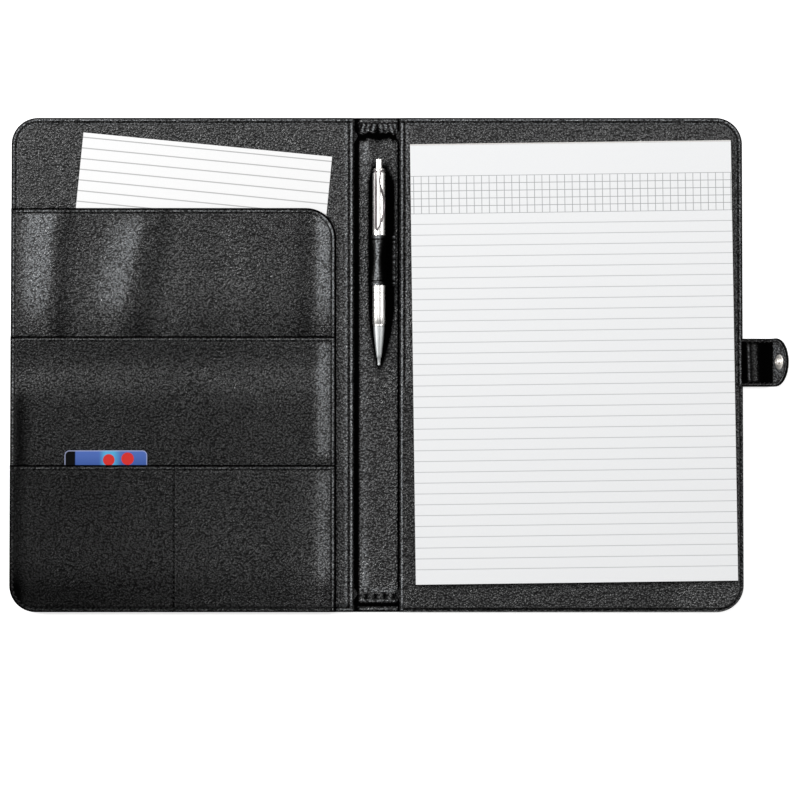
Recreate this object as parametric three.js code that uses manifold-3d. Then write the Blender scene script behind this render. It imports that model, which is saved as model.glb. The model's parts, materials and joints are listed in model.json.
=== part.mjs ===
// Document folder, open: two padded leather covers, a soft spine with a click pen in a loop, three stacked pockets
// with a loose sheet and a card, a writing pad tucked under a flap, and a closing tab with a press stud.
// Millimetres. The origin is the middle of the spine's underside. +X points to the closing tab, +Y to the head of
// the pad, +Z up from the table.
import * as THREE from "three";
import { mergeVertices } from "three/addons/utils/BufferGeometryUtils.js";
import Module from "manifold-3d";

// Covers and spine
const coverLength = 324.4; // along the spine
const coverWidth = 224.6; // from the crease to the fore edge
const spineWidth = 30.3; // from crease line to crease line
const creaseGap = 0.3; // from a crease line to the leather beside it
const outerCornerRadius = 17.5;
const innerCornerRadius = 2.5;
const leather = 0.8; // thickness of every skin, lining and pocket panel
const layerGap = 0.1; // between layers that lie flat on each other
const boardThickness = 2.1; // stiffening board with its foam
const hemWidth = 3.2; // flat sewn edge round each cover
const hemRise = 3.4; // width over which the padding comes up to its full height
const boardInset = 4.4; // from the cover's edge to the board
const boardBevel = 1.5; // slope of the board's upper edge, under the lining
const foldRound = 1.5; // how far the lining rounds over at the spine, where it folds round the board
const spineEndDip = 0.5; // the spine is this much shorter than the covers at each end
const gatherCount = 7; // folds of the lining at each end of the spine
const gatherHeight = 0.5;
const gatherLength = 8;
const gatherMargin = 3; // width beside each crease where the folds die out
const spineHem = 3; // flat hem at each end of the spine's lining

// Pockets of the front cover
const seamMargin = 11.1; // from the cover's edge at the spine to the pockets' seam
const pocketGap = 0.3; // between two panels sewn over each other
const beadWidth = 2.3; // raised edge where a panel is turned over at its mouth and its seam
const beadHeight = 0.4;
const documentPocketTop = 102.5;
const documentCornerRadius = 20;
const middlePocketTop = 18.2;
const cardPocketTop = -66.1;
const cardSlotDivider = -132.3; // stitch line that closes the card's slot

// Paper and card
const sheetThickness = 0.25;
const sheetWidth = 164;
const sheetLength = 235;
const sheetTurn = 5.6; // degrees clockwise
const sheetCorner = new THREE.Vector2(-192.5, 152.2); // its top left corner
const cardWidth = 54;
const cardLength = 85.6;
const cardThickness = 0.76;
const cardRadius = 3.2;
const cardLeft = -203.9;
const cardTop = -56.6;

// Writing pad
const padWidth = 210;
const padLength = 288;
const padCentre = new THREE.Vector2(128.7, 1.2);
const padTurn = 0.75; // degrees anticlockwise
const padBacking = 0.6;
const padBlock = 3.6;
const topSheet = 0.15;
const bindingThickness = 0.8;
const flapTop = -15; // upper edge of the flap that holds the pad's back
const flapStart = 1.8; // from the cover's edge at the spine to the flap's own edge

// Closing tab and press stud
const tabWidth = 31.6;
const tabCentre = 1;
const tabLeather = 0.75; // each of its two layers
const tabBend = 66; // degrees that its end is stored bent up
const tabEndStraight = 4.6; // length of the end before its half round
const closedTilt = 3.6; // degrees that the closed front cover slopes to its fore edge
const studReach = 11; // from the tab's bend to the stud
const studRadius = 2.3;
const studHeight = 2.6;
const studFlangeRadius = 4.9;
const studFlange = 0.5;
const capRadius = 5.5;
const capThickness = 0.7;
const rivetRadius = 1.2;
const socketRadius = 4.5;
const socketHeight = 2.35;
const snapClearance = 0.3;

// Pen, all along Y, with lengths measured from the folder's middle
const penX = 1.5;
const barrelRadius = 4.25;
const barrelTop = 128;
const barrelJoint = 61.2;
const lowerBarrelEnd = 24.7;
const penTip = -0.9;
const plungerTop = 134.3;
const plungerRadius = 2.13;
const plungerTravel = 5;
const refillRadius = 1.45;
const refillNeck = 1.0;
const penPlay = 0.3; // running gap between the pen's pieces
const penSides = 24;
const clipWire = 0.45; // radius of the clip's wire
const clipEnd = 86.4;
const loopTop = 84.1;
const loopLength = 32.8;
const loopLeather = 0.9;
const loopTailEnd = 12.3;

// Heights that follow from the thicknesses
const skinTop = leather;
const boardBottom = skinTop + layerGap;
const boardTop = boardBottom + boardThickness;
const liningTop = boardTop + layerGap + leather;
const hemTop = boardBottom + leather;
const creaseX = spineWidth / 2;
const coverStart = creaseX + creaseGap;
const foreEdge = coverStart + coverWidth;
const halfLength = coverLength / 2;
const pocketWidth = coverWidth - seamMargin;
const pocketRight = -foreEdge + pocketWidth;
const documentBottom = liningTop + sheetThickness + 2 * layerGap;
const middleBottom = documentBottom + leather + pocketGap;
const cardPanelBottom = middleBottom + leather + pocketGap;
const backingBottom = liningTop + layerGap;
const flapBottom = backingBottom + padBacking + layerGap;
const blockBottom = flapBottom + leather + layerGap;
const blockTop = blockBottom + padBlock;

const wasm = await Module();
wasm.setup();

const looks = {
  skin: [0x19191a, 0.62, 0],
  lining: [0x2b2c2e, 0.55, 0],
  board: [0x8a7f6a, 0.9, 0],
  paper: [0xf0f0f2, 0.85, 0],
  backing: [0x9c9186, 0.9, 0],
  binding: [0xd9d6cf, 0.6, 0],
  card: [0x1c62b8, 0.3, 0],
  steel: [0xc9cacc, 0.25, 1],
  dull: [0xa9abac, 0.4, 1],
  ink: [0xe4e2da, 0.4, 0],
};

function named(name, geometry, look) {
  const [color, roughness, metalness] = looks[look];
  const mesh = new THREE.Mesh(geometry, new THREE.MeshStandardMaterial({ color, roughness, metalness }));
  mesh.name = name;
  return mesh;
}

const smooth = (from, to, value) => THREE.MathUtils.smoothstep(value, from, to);
const ramp = (from, to, value) => THREE.MathUtils.clamp((value - from) / (to - from), 0, 1);

// Signed volume of a closed mesh, to turn one that came out with its faces inwards.
function facingOut(geometry) {
  const merged = welded(geometry);
  const p = merged.getAttribute("position");
  const index = merged.getIndex();
  const corner = [new THREE.Vector3(), new THREE.Vector3(), new THREE.Vector3()];
  let volume = 0;
  for (let i = 0; i < index.count; i += 3) {
    corner.forEach((v, k) => v.fromBufferAttribute(p, index.getX(i + k)));
    volume += corner[0].dot(corner[1].clone().cross(corner[2]));
  }
  if (volume < 0) {
    for (let i = 0; i < index.count; i += 3) {
      const swapped = index.getX(i);
      index.setX(i, index.getX(i + 1));
      index.setX(i + 1, swapped);
    }
  }
  return merged;
}

function welded(geometry) {
  geometry.deleteAttribute("normal");
  geometry.deleteAttribute("uv");
  return mergeVertices(geometry, 1e-4);
}

function solid(geometry) {
  const closed = facingOut(geometry);
  const vertProperties = new Float32Array(closed.getAttribute("position").array);
  const triVerts = new Uint32Array(closed.getIndex().array);
  return new wasm.Manifold(new wasm.Mesh({ numProp: 3, vertProperties, triVerts }));
}

function geometryOf(manifold) {
  const mesh = manifold.getMesh();
  const geometry = new THREE.BufferGeometry();
  geometry.setAttribute("position", new THREE.BufferAttribute(new Float32Array(mesh.vertProperties), 3));
  geometry.setIndex(new THREE.BufferAttribute(new Uint32Array(mesh.triVerts), 1));
  return geometry;
}

function cut(geometry, ...tools) {
  return geometryOf(tools.reduce((left, tool) => left.subtract(solid(tool)), solid(geometry)));
}

function indexed(points, faces) {
  const geometry = new THREE.BufferGeometry();
  geometry.setAttribute("position", new THREE.Float32BufferAttribute(points.flat(), 3));
  geometry.setIndex(faces.flat());
  return geometry;
}

// Rectangle with its own radius at each corner, anticlockwise from the lower left, drawn in by an inset.
function outline(box, radii, inset = 0, steps = 6) {
  const [x0, x1, y0, y1] = box;
  const corners = [
    [x0, y0, 1, 1, Math.PI],
    [x1, y0, -1, 1, 1.5 * Math.PI],
    [x1, y1, -1, -1, 0],
    [x0, y1, 1, -1, 0.5 * Math.PI],
  ];
  return corners.flatMap(([x, y, toX, toY, start], k) => {
    const radius = Math.max(radii[k] - inset, 0.4);
    const reach = inset + radius;
    const turns = radii[k] > 5 ? steps : 2;
    return Array.from({ length: turns + 1 }, (_, i) => {
      const angle = start + (i / turns) * 0.5 * Math.PI;
      return [x + toX * reach + radius * Math.cos(angle), y + toY * reach + radius * Math.sin(angle)];
    });
  });
}

// Closed solid through a stack of outlines with the same number of points, capped at both ends.
function stacked(rings) {
  const count = rings[0].points.length;
  const points = rings.flatMap(({ points: ring, z }) => ring.map(([x, y]) => [x, y, z]));
  const faces = [];
  for (let r = 0; r + 1 < rings.length; r++) {
    for (let i = 0; i < count; i++) {
      const a = r * count + i;
      const b = r * count + ((i + 1) % count);
      faces.push([a, b, b + count], [a, b + count, a + count]);
    }
  }
  const last = (rings.length - 1) * count;
  for (let i = 1; i + 1 < count; i++) {
    faces.push([0, i + 1, i], [last, last + i, last + i + 1]);
  }
  return indexed(points, faces);
}

// Closed sheet on a grid: its sides are functions of y, its two faces functions of x and y.
function sheet({ columns, rows, side, bottom, top }) {
  const wide = columns.length;
  const points = [];
  for (const surface of [bottom, top]) {
    for (const y of rows) {
      const [from, to] = side(y);
      for (const share of columns) {
        const x = THREE.MathUtils.lerp(from, to, share);
        points.push([x, y, surface(x, y)]);
      }
    }
  }
  const layer = wide * rows.length;
  const faces = [];
  const quad = (a, b, c, d) => faces.push([a, b, c], [a, c, d]);
  for (let j = 0; j + 1 < rows.length; j++) {
    for (let i = 0; i + 1 < wide; i++) {
      const a = j * wide + i;
      quad(a + layer, a + 1 + layer, a + 1 + wide + layer, a + wide + layer);
      quad(a, a + wide, a + wide + 1, a + 1);
    }
    const left = j * wide;
    const right = left + wide - 1;
    quad(left, left + layer, left + wide + layer, left + wide);
    quad(right, right + wide, right + wide + layer, right + layer);
  }
  const head = (rows.length - 1) * wide;
  for (let i = 0; i + 1 < wide; i++) {
    quad(i, i + 1, i + 1 + layer, i + layer);
    quad(head + i, head + i + layer, head + i + 1 + layer, head + i + 1);
  }
  return indexed(points, faces);
}

// Round wire along points, open with flat ends or closed on itself.
function wire(points, radius, sides, closed) {
  const path = new THREE.CatmullRomCurve3(points, closed, "centripetal");
  const steps = points.length - (closed ? 0 : 1);
  const frames = path.computeFrenetFrames(steps, closed);
  const ringCount = closed ? steps : steps + 1;
  const places = [];
  for (let i = 0; i < ringCount; i++) {
    const centre = path.getPointAt(i / steps);
    for (let k = 0; k < sides; k++) {
      const angle = (k / sides) * 2 * Math.PI;
      const place = centre
        .clone()
        .addScaledVector(frames.normals[i], radius * Math.cos(angle))
        .addScaledVector(frames.binormals[i], radius * Math.sin(angle));
      places.push(place.toArray());
    }
  }
  const faces = [];
  for (let i = 0; i < steps; i++) {
    const next = (i + 1) % ringCount;
    for (let k = 0; k < sides; k++) {
      const side = (k + 1) % sides;
      faces.push([i * sides + k, i * sides + side, next * sides + side]);
      faces.push([i * sides + k, next * sides + side, next * sides + k]);
    }
  }
  if (!closed) {
    for (let k = 1; k + 1 < sides; k++) {
      faces.push([0, k + 1, k], [steps * sides, steps * sides + k, steps * sides + k + 1]);
    }
  }
  return facingOut(indexed(places, faces));
}

// Turned piece about Y from a list of radius and length.
function turned(profile, sides = penSides) {
  return facingOut(new THREE.LatheGeometry(profile.map(([r, y]) => new THREE.Vector2(r, y)), sides));
}

// Disc or ring whose axis is Z, from its profile of radius and height.
function turnedUp(profile, sides) {
  return turned(profile, sides).rotateX(Math.PI / 2);
}

// Distance in from the fore edge, head, foot and outer corners of a cover, for x measured away from the spine.
function insetOf(x, y) {
  const toFore = foreEdge - x;
  const toEnd = halfLength - Math.abs(y);
  const cornerX = outerCornerRadius - toFore;
  const cornerY = outerCornerRadius - toEnd;
  if (cornerX > 0 && cornerY > 0) {
    return outerCornerRadius - Math.hypot(cornerX, cornerY);
  }
  return Math.min(toFore, toEnd);
}

// Where the outer edge of a cover lies at a height y, measured away from the spine.
function foreEdgeAt(y) {
  const cornerY = outerCornerRadius - (halfLength - Math.abs(y));
  if (cornerY <= 0) {
    return foreEdge;
  }
  return foreEdge - outerCornerRadius + Math.sqrt(Math.max(outerCornerRadius ** 2 - cornerY ** 2, 0));
}

// Rows of a grid that follow the round lower corner closely and are wide apart above it.
function rowsUp(from, to, extra) {
  const corner = [0.6, 2, 4, 6.5, 10, 14, outerCornerRadius].map((step) => from + step);
  const above = Array.from({ length: extra }, (_, i) => THREE.MathUtils.lerp(corner.at(-1), to, (i + 1) / extra));
  return [from + 0.05, ...corner, ...above];
}

function coverRadii() {
  return [innerCornerRadius, outerCornerRadius, outerCornerRadius, innerCornerRadius];
}

// One level of a cover, drawn in by one inset round its three sewn sides and by another at the spine.
function coverRing(inset, z, atSpine = inset) {
  const box = [coverStart + atSpine - inset, foreEdge, -halfLength, halfLength];
  return { points: outline(box, coverRadii(), inset), z };
}

// Outer leather of a cover: a flat sheet with a slightly rounded edge.
function coverSkin() {
  return stacked([
    coverRing(0.4, 0),
    coverRing(0, 0.3),
    coverRing(0, skinTop - layerGap),
    coverRing(layerGap, skinTop),
  ]);
}

// Stiffening board: flat below, bevelled above where the lining comes over it, and close to the fold at the spine.
function coverBoard() {
  const edge = 0.4; // height of its upright edge
  const atSpine = leather + edge;
  return stacked([
    coverRing(boardInset, boardBottom, atSpine),
    coverRing(boardInset, boardBottom + edge, atSpine),
    coverRing(boardInset + boardBevel, boardTop, leather + layerGap + foldRound),
  ]);
}

// Inner lining: flat round the sewn hem, raised over the board, and folded down round the board at the spine.
function coverLining() {
  const height = liningTop - hemTop;
  // Shares of the rise's width, of its height and of the fold's round.
  const shoulder = [
    [0, 0.01, 0],
    [0.35, 0.5, 0],
    [0.65, 0.85, 0.3],
    [1, 1, 1],
  ].map(([across, up, round]) => coverRing(hemWidth + across * hemRise, hemTop + up * height, round * foldRound));
  return stacked([
    coverRing(boardInset + boardBevel, liningTop - leather, leather + foldRound),
    coverRing(hemWidth + 0.5, boardBottom, leather),
    coverRing(0, boardBottom),
    coverRing(0, hemTop - 0.2),
    coverRing(0.3, hemTop, 0),
    ...shoulder,
  ]);
}

function mirrored(geometry) {
  return facingOut(geometry.scale(-1, 1, 1));
}

// Height of a leather layer over a cover: low on the sewn hem, full over the board.
function layerHeight(x, y, onHem, inside) {
  return THREE.MathUtils.lerp(onHem, inside, ramp(0.5 * hemWidth, hemWidth + 0.4 * hemRise, insetOf(Math.abs(x), y)));
}

// Share of a raised edge's height: half an ellipse across its width, along the mouth, the round corner and the seam.
function bead(x, y, topEdge, radius) {
  const toSeam = pocketRight - x;
  const toMouth = topEdge - y;
  const inCorner = toSeam < radius && toMouth < radius;
  const toArc = radius - Math.hypot(radius - toSeam, radius - toMouth);
  const inward = inCorner ? toArc : Math.min(toSeam, toMouth);
  const across = (2 * inward) / beadWidth - 1;
  return Math.abs(across) < 1 ? Math.sqrt(1 - across ** 2) : 0;
}

// One pocket panel of the front cover, its order counted from the lining up. Its raised edge ends above the mouth of
// the panel that covers its foot. The grid takes extra lines where asked.
function pocketPanel({
  order,
  topEdge,
  inside,
  coveredTo,
  raised = beadHeight,
  radius = 0,
  lift = () => 0,
  extraX = [],
  extraY = [],
}) {
  const beadEnd = [0.5, 3].map((step) => coveredTo + step);
  const beadSteps = [0.12, 0.5, 0.88, 1].map((share) => share * beadWidth);
  const onHem = hemTop + pocketGap + order * (leather + pocketGap);
  const bottom = (x, y) => layerHeight(x, y, onHem, inside) + lift(x, y);
  const side = (y) => {
    const intoCorner = radius - (topEdge - y);
    const drawnIn = intoCorner > 0 ? radius - Math.sqrt(radius ** 2 - intoCorner ** 2) : 0;
    return [-foreEdgeAt(y), pocketRight - drawnIn];
  };
  const hemLines = [0, 0.5, 0.8, 1.3, 2].map((share) => -foreEdge + share * hemWidth);
  const even = [0.05, 0.12, 0.25, 0.4, 0.55, 0.7, 0.85, 0.95, 1].map((share) => -foreEdge + share * pocketWidth);
  const beadLines = beadSteps.map((step) => pocketRight - step);
  const lines = [...hemLines, ...even, ...beadLines, ...extraX].sort((a, b) => a - b);
  const cornerRows = radius ? [0, 0.35, 0.65, 0.87, 0.995].map((share) => topEdge - radius + share * radius) : [];
  const mouthRows = [...beadSteps.map((step) => topEdge - step), ...beadEnd.filter((y) => y > -halfLength)];
  const upRows = rowsUp(-halfLength, topEdge - radius, 5);
  const rows = [...upRows, ...cornerRows.slice(1), ...mouthRows, ...extraY].sort((a, b) => a - b);
  return sheet({
    columns: lines.map((x) => (x + foreEdge) / pocketWidth),
    rows,
    side,
    bottom,
    top: (x, y) => bottom(x, y) + leather + raised * bead(x, y, topEdge, radius) * ramp(...beadEnd, y),
  });
}

// The card panel stands up over the card between the fore edge and the divider.
const cardMargin = 1;
const cardRight = cardLeft + cardWidth;
const cardFoot = cardTop - cardLength;
const slotRamp = 6;

function overCard(x, y) {
  const across =
    ramp(cardLeft - slotRamp, cardLeft - cardMargin, x) * ramp(-cardSlotDivider, -cardRight - cardMargin, -x);
  const along = ramp(cardFoot - slotRamp, cardFoot - cardMargin, y);
  return (cardThickness + 2 * layerGap - pocketGap) * across * along;
}

function cardPocket() {
  return pocketPanel({
    order: 2,
    topEdge: cardPocketTop,
    inside: cardPanelBottom,
    coveredTo: -halfLength - hemWidth,
    lift: overCard,
    extraX: [cardLeft - slotRamp, cardLeft - cardMargin, cardRight + cardMargin, cardSlotDivider],
    extraY: [cardFoot - slotRamp, cardFoot - cardMargin],
  });
}

function documentPocket() {
  return pocketPanel({
    order: 0,
    topEdge: documentPocketTop,
    inside: documentBottom,
    coveredTo: middlePocketTop,
    radius: documentCornerRadius,
  });
}

// The middle panel's edge lies flat, because the card slides over it.
function middlePocket() {
  return pocketPanel({
    order: 1,
    topEdge: middlePocketTop,
    inside: middleBottom,
    coveredTo: cardPocketTop,
    raised: 0,
  });
}

function looseSheet() {
  const geometry = new THREE.BoxGeometry(sheetWidth, sheetLength, sheetThickness);
  geometry.translate(sheetWidth / 2, -sheetLength / 2, 0);
  const mesh = named("loose_sheet", geometry, "paper");
  mesh.position.set(sheetCorner.x, sheetCorner.y, liningTop + layerGap + sheetThickness / 2);
  mesh.rotation.z = -THREE.MathUtils.degToRad(sheetTurn);
  return mesh;
}

function plasticCard() {
  const box = [cardLeft, cardLeft + cardWidth, cardTop - cardLength, cardTop];
  const ring = (inset, z) => ({ points: outline(box, Array(4).fill(cardRadius), inset), z });
  const bottom = middleBottom + leather + layerGap;
  return stacked([ring(0, bottom), ring(0, bottom + cardThickness)]);
}

// Spine lining: a strip with a hem and gathered folds at both ends.
function spineLining() {
  const end = halfLength - spineEndDip;
  const gathersFrom = end - spineHem;
  const gathersTo = gathersFrom - gatherLength;
  const half = creaseX - creaseGap;
  const raise = (x, y) => {
    const along = Math.abs(y);
    const wave = 0.5 - 0.5 * Math.cos(((x + half) / (2 * half)) * gatherCount * 2 * Math.PI);
    const hem = smooth(gathersFrom, gathersFrom + 0.6, along);
    const fade = smooth(gathersTo, gathersFrom - 1, along) * (1 - hem);
    const beside = smooth(0, gatherMargin, half - Math.abs(x));
    return gatherHeight * beside * (wave * fade + 0.8 * hem);
  };
  const upper = [gathersTo, gathersTo + 0.35 * gatherLength, gathersTo + 0.7 * gatherLength, gathersFrom - 0.6];
  const rows = [...upper, gathersFrom, gathersFrom + 0.6, end];
  return sheet({
    columns: Array.from({ length: gatherCount * 4 + 1 }, (_, i) => i / (gatherCount * 4)),
    rows: [...rows.map((y) => -y).reverse(), ...rows],
    side: () => [-half, half],
    bottom: (x, y) => boardBottom + 0.5 * raise(x, y),
    top: (x, y) => hemTop + raise(x, y),
  });
}

function spineSkin() {
  const half = creaseX - creaseGap;
  const end = halfLength - spineEndDip;
  const ring = (inset, z) => ({ points: outline([-half, half, -end, end], Array(4).fill(1), inset), z });
  return stacked([ring(0.2, 0), ring(0, 0.2), ring(0, skinTop)]);
}

// Flap of the back cover: sewn round the hem, standing over the pad's card back.
function padFlap() {
  const hem = hemTop + layerGap;
  const shoulder = 1.3; // width of the flap's steep side
  const rise = (x, y, shift) => ramp(0.7 * hemWidth - shift, 0.7 * hemWidth - shift + shoulder, insetOf(x, y));
  const seam = liningTop + layerGap;
  const beside = (x) => THREE.MathUtils.lerp(seam, flapBottom, ramp(2 * flapStart, 4 * flapStart, x - coverStart));
  return sheet({
    columns: [0, 0.008, 0.016, 0.025, 0.06, 0.2, 0.35, 0.5, 0.65, 0.8, 0.94, 0.97, 0.983, 0.9865, 0.99, 0.994, 1],
    rows: rowsUp(-halfLength, flapTop, 5),
    side: (y) => [coverStart + flapStart, foreEdgeAt(y)],
    bottom: (x, y) => THREE.MathUtils.lerp(hem, beside(x), rise(x, y, 0)),
    top: (x, y) => THREE.MathUtils.lerp(hem, beside(x), rise(x, y, 0.6)) + leather,
  });
}

// The pad: card back, block of sheets, glued binding along the head and a top sheet that turns over.
function writingPad() {
  const slab = (name, look, bottom, thickness, head) => {
    const length = padLength / 2 + head;
    const mesh = named(name, new THREE.BoxGeometry(padWidth, length, thickness), look);
    mesh.position.set(0, head - length / 2, bottom + thickness / 2);
    return mesh;
  };
  const pageHead = padLength / 2 - bindingThickness - layerGap;
  const binding = new THREE.BoxGeometry(padWidth, bindingThickness, blockTop - backingBottom);
  const strip = named("pad_binding", binding, "binding");
  strip.position.set(0, (padLength - bindingThickness) / 2, (blockTop + backingBottom) / 2);
  const pad = new THREE.Group();
  pad.position.set(padCentre.x, padCentre.y, 0);
  pad.rotation.z = THREE.MathUtils.degToRad(padTurn);
  pad.add(
    slab("pad_backing", "backing", backingBottom, padBacking, pageHead),
    slab("pad_sheets", "paper", blockBottom, padBlock, pageHead),
    slab("pad_top_sheet", "paper", blockTop + layerGap, topSheet, pageHead),
    strip,
  );
  return pad;
}

// Loop that holds the pen: a strip turned round the barrel, its two ends sewn flat beside it.
const loopInner = barrelRadius + penPlay;
const loopOuter = loopInner + loopLeather;
const penZ = hemTop + layerGap + loopOuter;

function penLoop() {
  const tailTop = hemTop + layerGap + 2 * loopLeather;
  const shape = new THREE.Shape();
  const meet = Math.asin((penZ - tailTop - 0.9) / loopOuter); // angle below the pen's middle where the tail leaves
  shape.moveTo(loopTailEnd, tailTop);
  shape.lineTo(penX + loopOuter * Math.cos(meet) + 0.9, tailTop);
  shape.absarc(penX, penZ, loopOuter, -meet, 1.5 * Math.PI, false);
  shape.lineTo(loopTailEnd, penZ - loopOuter);
  shape.closePath();
  const bore = new THREE.Path();
  bore.absarc(penX, penZ, loopInner, 0, 2 * Math.PI, true);
  shape.holes.push(bore);
  const geometry = new THREE.ExtrudeGeometry(shape, { depth: loopLength, bevelEnabled: false, curveSegments: 14 });
  geometry.rotateX(Math.PI / 2);
  geometry.translate(0, loopTop, 0);
  return facingOut(geometry);
}

// Groove round the barrel's top that holds the clip's ring.
const clipPlay = 0.2;
const grooveRadius = 3.55;
const grooveTop = barrelTop - 0.5;
const grooveBottom = grooveTop - 2 * clipWire - 2 * 0.75;

function upperBarrel() {
  const wall = 1;
  const inner = barrelRadius - wall;
  const endWall = barrelTop - 4;
  const mouth = plungerRadius + 0.2;
  return turned([
    [inner, barrelJoint + 1.3],
    [barrelRadius, barrelJoint + 1.3],
    [barrelRadius, grooveBottom],
    [grooveRadius, grooveBottom + 0.2],
    [grooveRadius, grooveTop - 0.2],
    [barrelRadius - 0.2, grooveTop],
    [barrelRadius - 0.7, barrelTop],
    [mouth, barrelTop],
    [mouth, endWall],
    [inner, endWall],
    [inner, barrelJoint + 1.3],
  ]);
}

function jointRing() {
  const inner = barrelRadius - 1;
  return turned([
    [inner, barrelJoint + 0.1],
    [barrelRadius - 0.1, barrelJoint + 0.1],
    [barrelRadius - 0.1, barrelJoint + 1.2],
    [inner, barrelJoint + 1.2],
    [inner, barrelJoint + 0.1],
  ]);
}

// Lower barrel with fine grip grooves and a threaded neck that goes up into the upper barrel.
function lowerBarrel() {
  const bore = refillRadius + 0.75;
  const neck = barrelRadius - 1 - penPlay;
  const coneSeat = 3;
  const grooves = [31.3, 36.3, 41.3, 46.3].flatMap((y) => [
    [barrelRadius, y - 0.5],
    [barrelRadius - 0.25, y],
    [barrelRadius, y + 0.5],
  ]);
  return turned([
    [coneSeat, lowerBarrelEnd],
    [barrelRadius - 0.35, lowerBarrelEnd],
    [barrelRadius - 0.35, lowerBarrelEnd + 1.2],
    [barrelRadius, lowerBarrelEnd + 1.5],
    ...grooves,
    [barrelRadius, barrelJoint],
    [neck, barrelJoint],
    [neck, barrelJoint + 7],
    [bore, barrelJoint + 7],
    [bore, lowerBarrelEnd + 7],
    [coneSeat, lowerBarrelEnd + 6.5],
    [coneSeat, lowerBarrelEnd],
  ]);
}

const springSeat = penTip + 12.4;
const springEnd = 30.7;

function noseCone() {
  const spigot = 2.7;
  const top = lowerBarrelEnd - penPlay;
  return turned([
    [0.6, penTip],
    [0.95, penTip + 0.2],
    [1.15, penTip + 4.6],
    [1.5, penTip + 5],
    [3.75, top],
    [spigot, top],
    [spigot, lowerBarrelEnd + 6],
    [1.95, lowerBarrelEnd + 6],
    [1.95, springSeat],
    [refillNeck + 0.2, springSeat],
    [refillNeck + 0.2, penTip + 5.4],
    [0.6, penTip + 4.4],
    [0.6, penTip],
  ]);
}

const plungerBottom = barrelTop - 8;

function plunger() {
  return turned([
    [0, plungerBottom],
    [barrelRadius - 1 - penPlay, plungerBottom],
    [barrelRadius - 1 - penPlay, barrelTop - 4.3],
    [plungerRadius, barrelTop - 4.3],
    [plungerRadius, plungerTop - 0.4],
    [plungerRadius - 0.4, plungerTop],
    [0, plungerTop],
  ]);
}

function refill() {
  return turned(
    [
      [0, penTip + 0.3],
      [0.4, penTip + 0.9],
      [0.4, penTip + 5.4 + plungerTravel],
      [refillNeck, penTip + 5.6 + plungerTravel],
      [refillNeck, springEnd + 0.3],
      [refillRadius, springEnd + 0.3],
      [refillRadius, plungerBottom - penPlay],
      [0, plungerBottom - penPlay],
    ],
    12,
  );
}

// Return spring round the refill's neck, one unbroken wire.
function returnSpring() {
  const curls = 10;
  const steps = 8;
  const wireRadius = 0.2;
  const radius = refillRadius - 0.02;
  const points = Array.from({ length: curls * steps + 1 }, (_, i) => {
    const angle = (i / steps) * 2 * Math.PI;
    const from = springSeat + 0.3 + wireRadius;
    const along = THREE.MathUtils.lerp(from, springEnd - wireRadius, i / (curls * steps));
    return new THREE.Vector3(radius * Math.cos(angle), along, radius * Math.sin(angle));
  });
  return wire(points, wireRadius, 5, false);
}

// Wire clip: a ring in the barrel's groove, a straight leg on one side and a curved one that meets it.
function clipShape() {
  const overBarrel = barrelRadius + 0.35 + clipWire;
  const ringRadius = grooveRadius + clipPlay + clipWire;
  const ringY = (grooveTop + grooveBottom) / 2;
  const on = (x, y, radius = overBarrel) => {
    const angle = Math.asin(x / radius);
    return new THREE.Vector3(radius * Math.sin(angle), y, radius * Math.cos(angle));
  };
  const leftLeg = [115, 105, 95, clipEnd + 3].map((y) => on(-2.36, y));
  const foot = [on(-2.05, clipEnd + 0.8), on(-1.3, clipEnd), on(-0.5, clipEnd + 1.1)];
  const rightLeg = [
    on(1.31, 92),
    on(2.7, 96),
    on(3.45, 100),
    on(3.6, 105),
    on(3.0, 109.5),
    on(1.9, 113.5),
    on(0.75, 117.5),
    on(0.3, 120),
    on(0.8, 122.5),
  ];
  const ring = Array.from({ length: 17 }, (_, i) => {
    const angle = THREE.MathUtils.lerp(0.42, 2 * Math.PI - 0.55, i / 16);
    return new THREE.Vector3(ringRadius * Math.sin(angle), ringY, ringRadius * Math.cos(angle));
  });
  const rise = on(1.5, grooveBottom + 0.3, overBarrel - 0.15);
  const fall = on(-2.36, grooveBottom - 0.6);
  return wire([...leftLeg, ...foot, ...rightLeg, rise, ...ring, fall], clipWire, 6, true);
}

function pen() {
  const group = new THREE.Group();
  group.position.set(penX, 0, penZ);
  group.add(
    named("pen_upper_barrel", upperBarrel(), "steel"),
    named("pen_joint_ring", jointRing(), "steel"),
    named("pen_lower_barrel", lowerBarrel(), "steel"),
    named("pen_nose_cone", noseCone(), "dull"),
    named("pen_plunger", plunger(), "steel"),
    named("pen_refill", refill(), "ink"),
    named("pen_spring", returnSpring(), "dull"),
    named("pen_clip", clipShape(), "steel"),
  );
  return group;
}

// Closing tab. The strap's length is what takes its bend just over the closed front cover's outer face.
const tilt = THREE.MathUtils.degToRad(closedTilt);
const tabHinge = foreEdge + creaseGap;
const strapTop = boardBottom + 2 * tabLeather + layerGap;
const snapStandoff = layerGap + studFlange + snapClearance; // from the tab's inner face to the closed cover
const closedOuterFace =
  hemTop + spineWidth + hemTop / Math.cos(tilt) - (tabHinge - creaseX) * Math.tan(tilt);
const strapRun = closedOuterFace + snapStandoff - strapTop;
const tabBendX = tabHinge + strapRun;

function strapLayer(bottom) {
  const geometry = new THREE.BoxGeometry(strapRun - 2 * creaseGap, tabWidth, tabLeather);
  return geometry.translate(tabHinge + strapRun / 2, tabCentre, bottom + tabLeather / 2);
}

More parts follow.
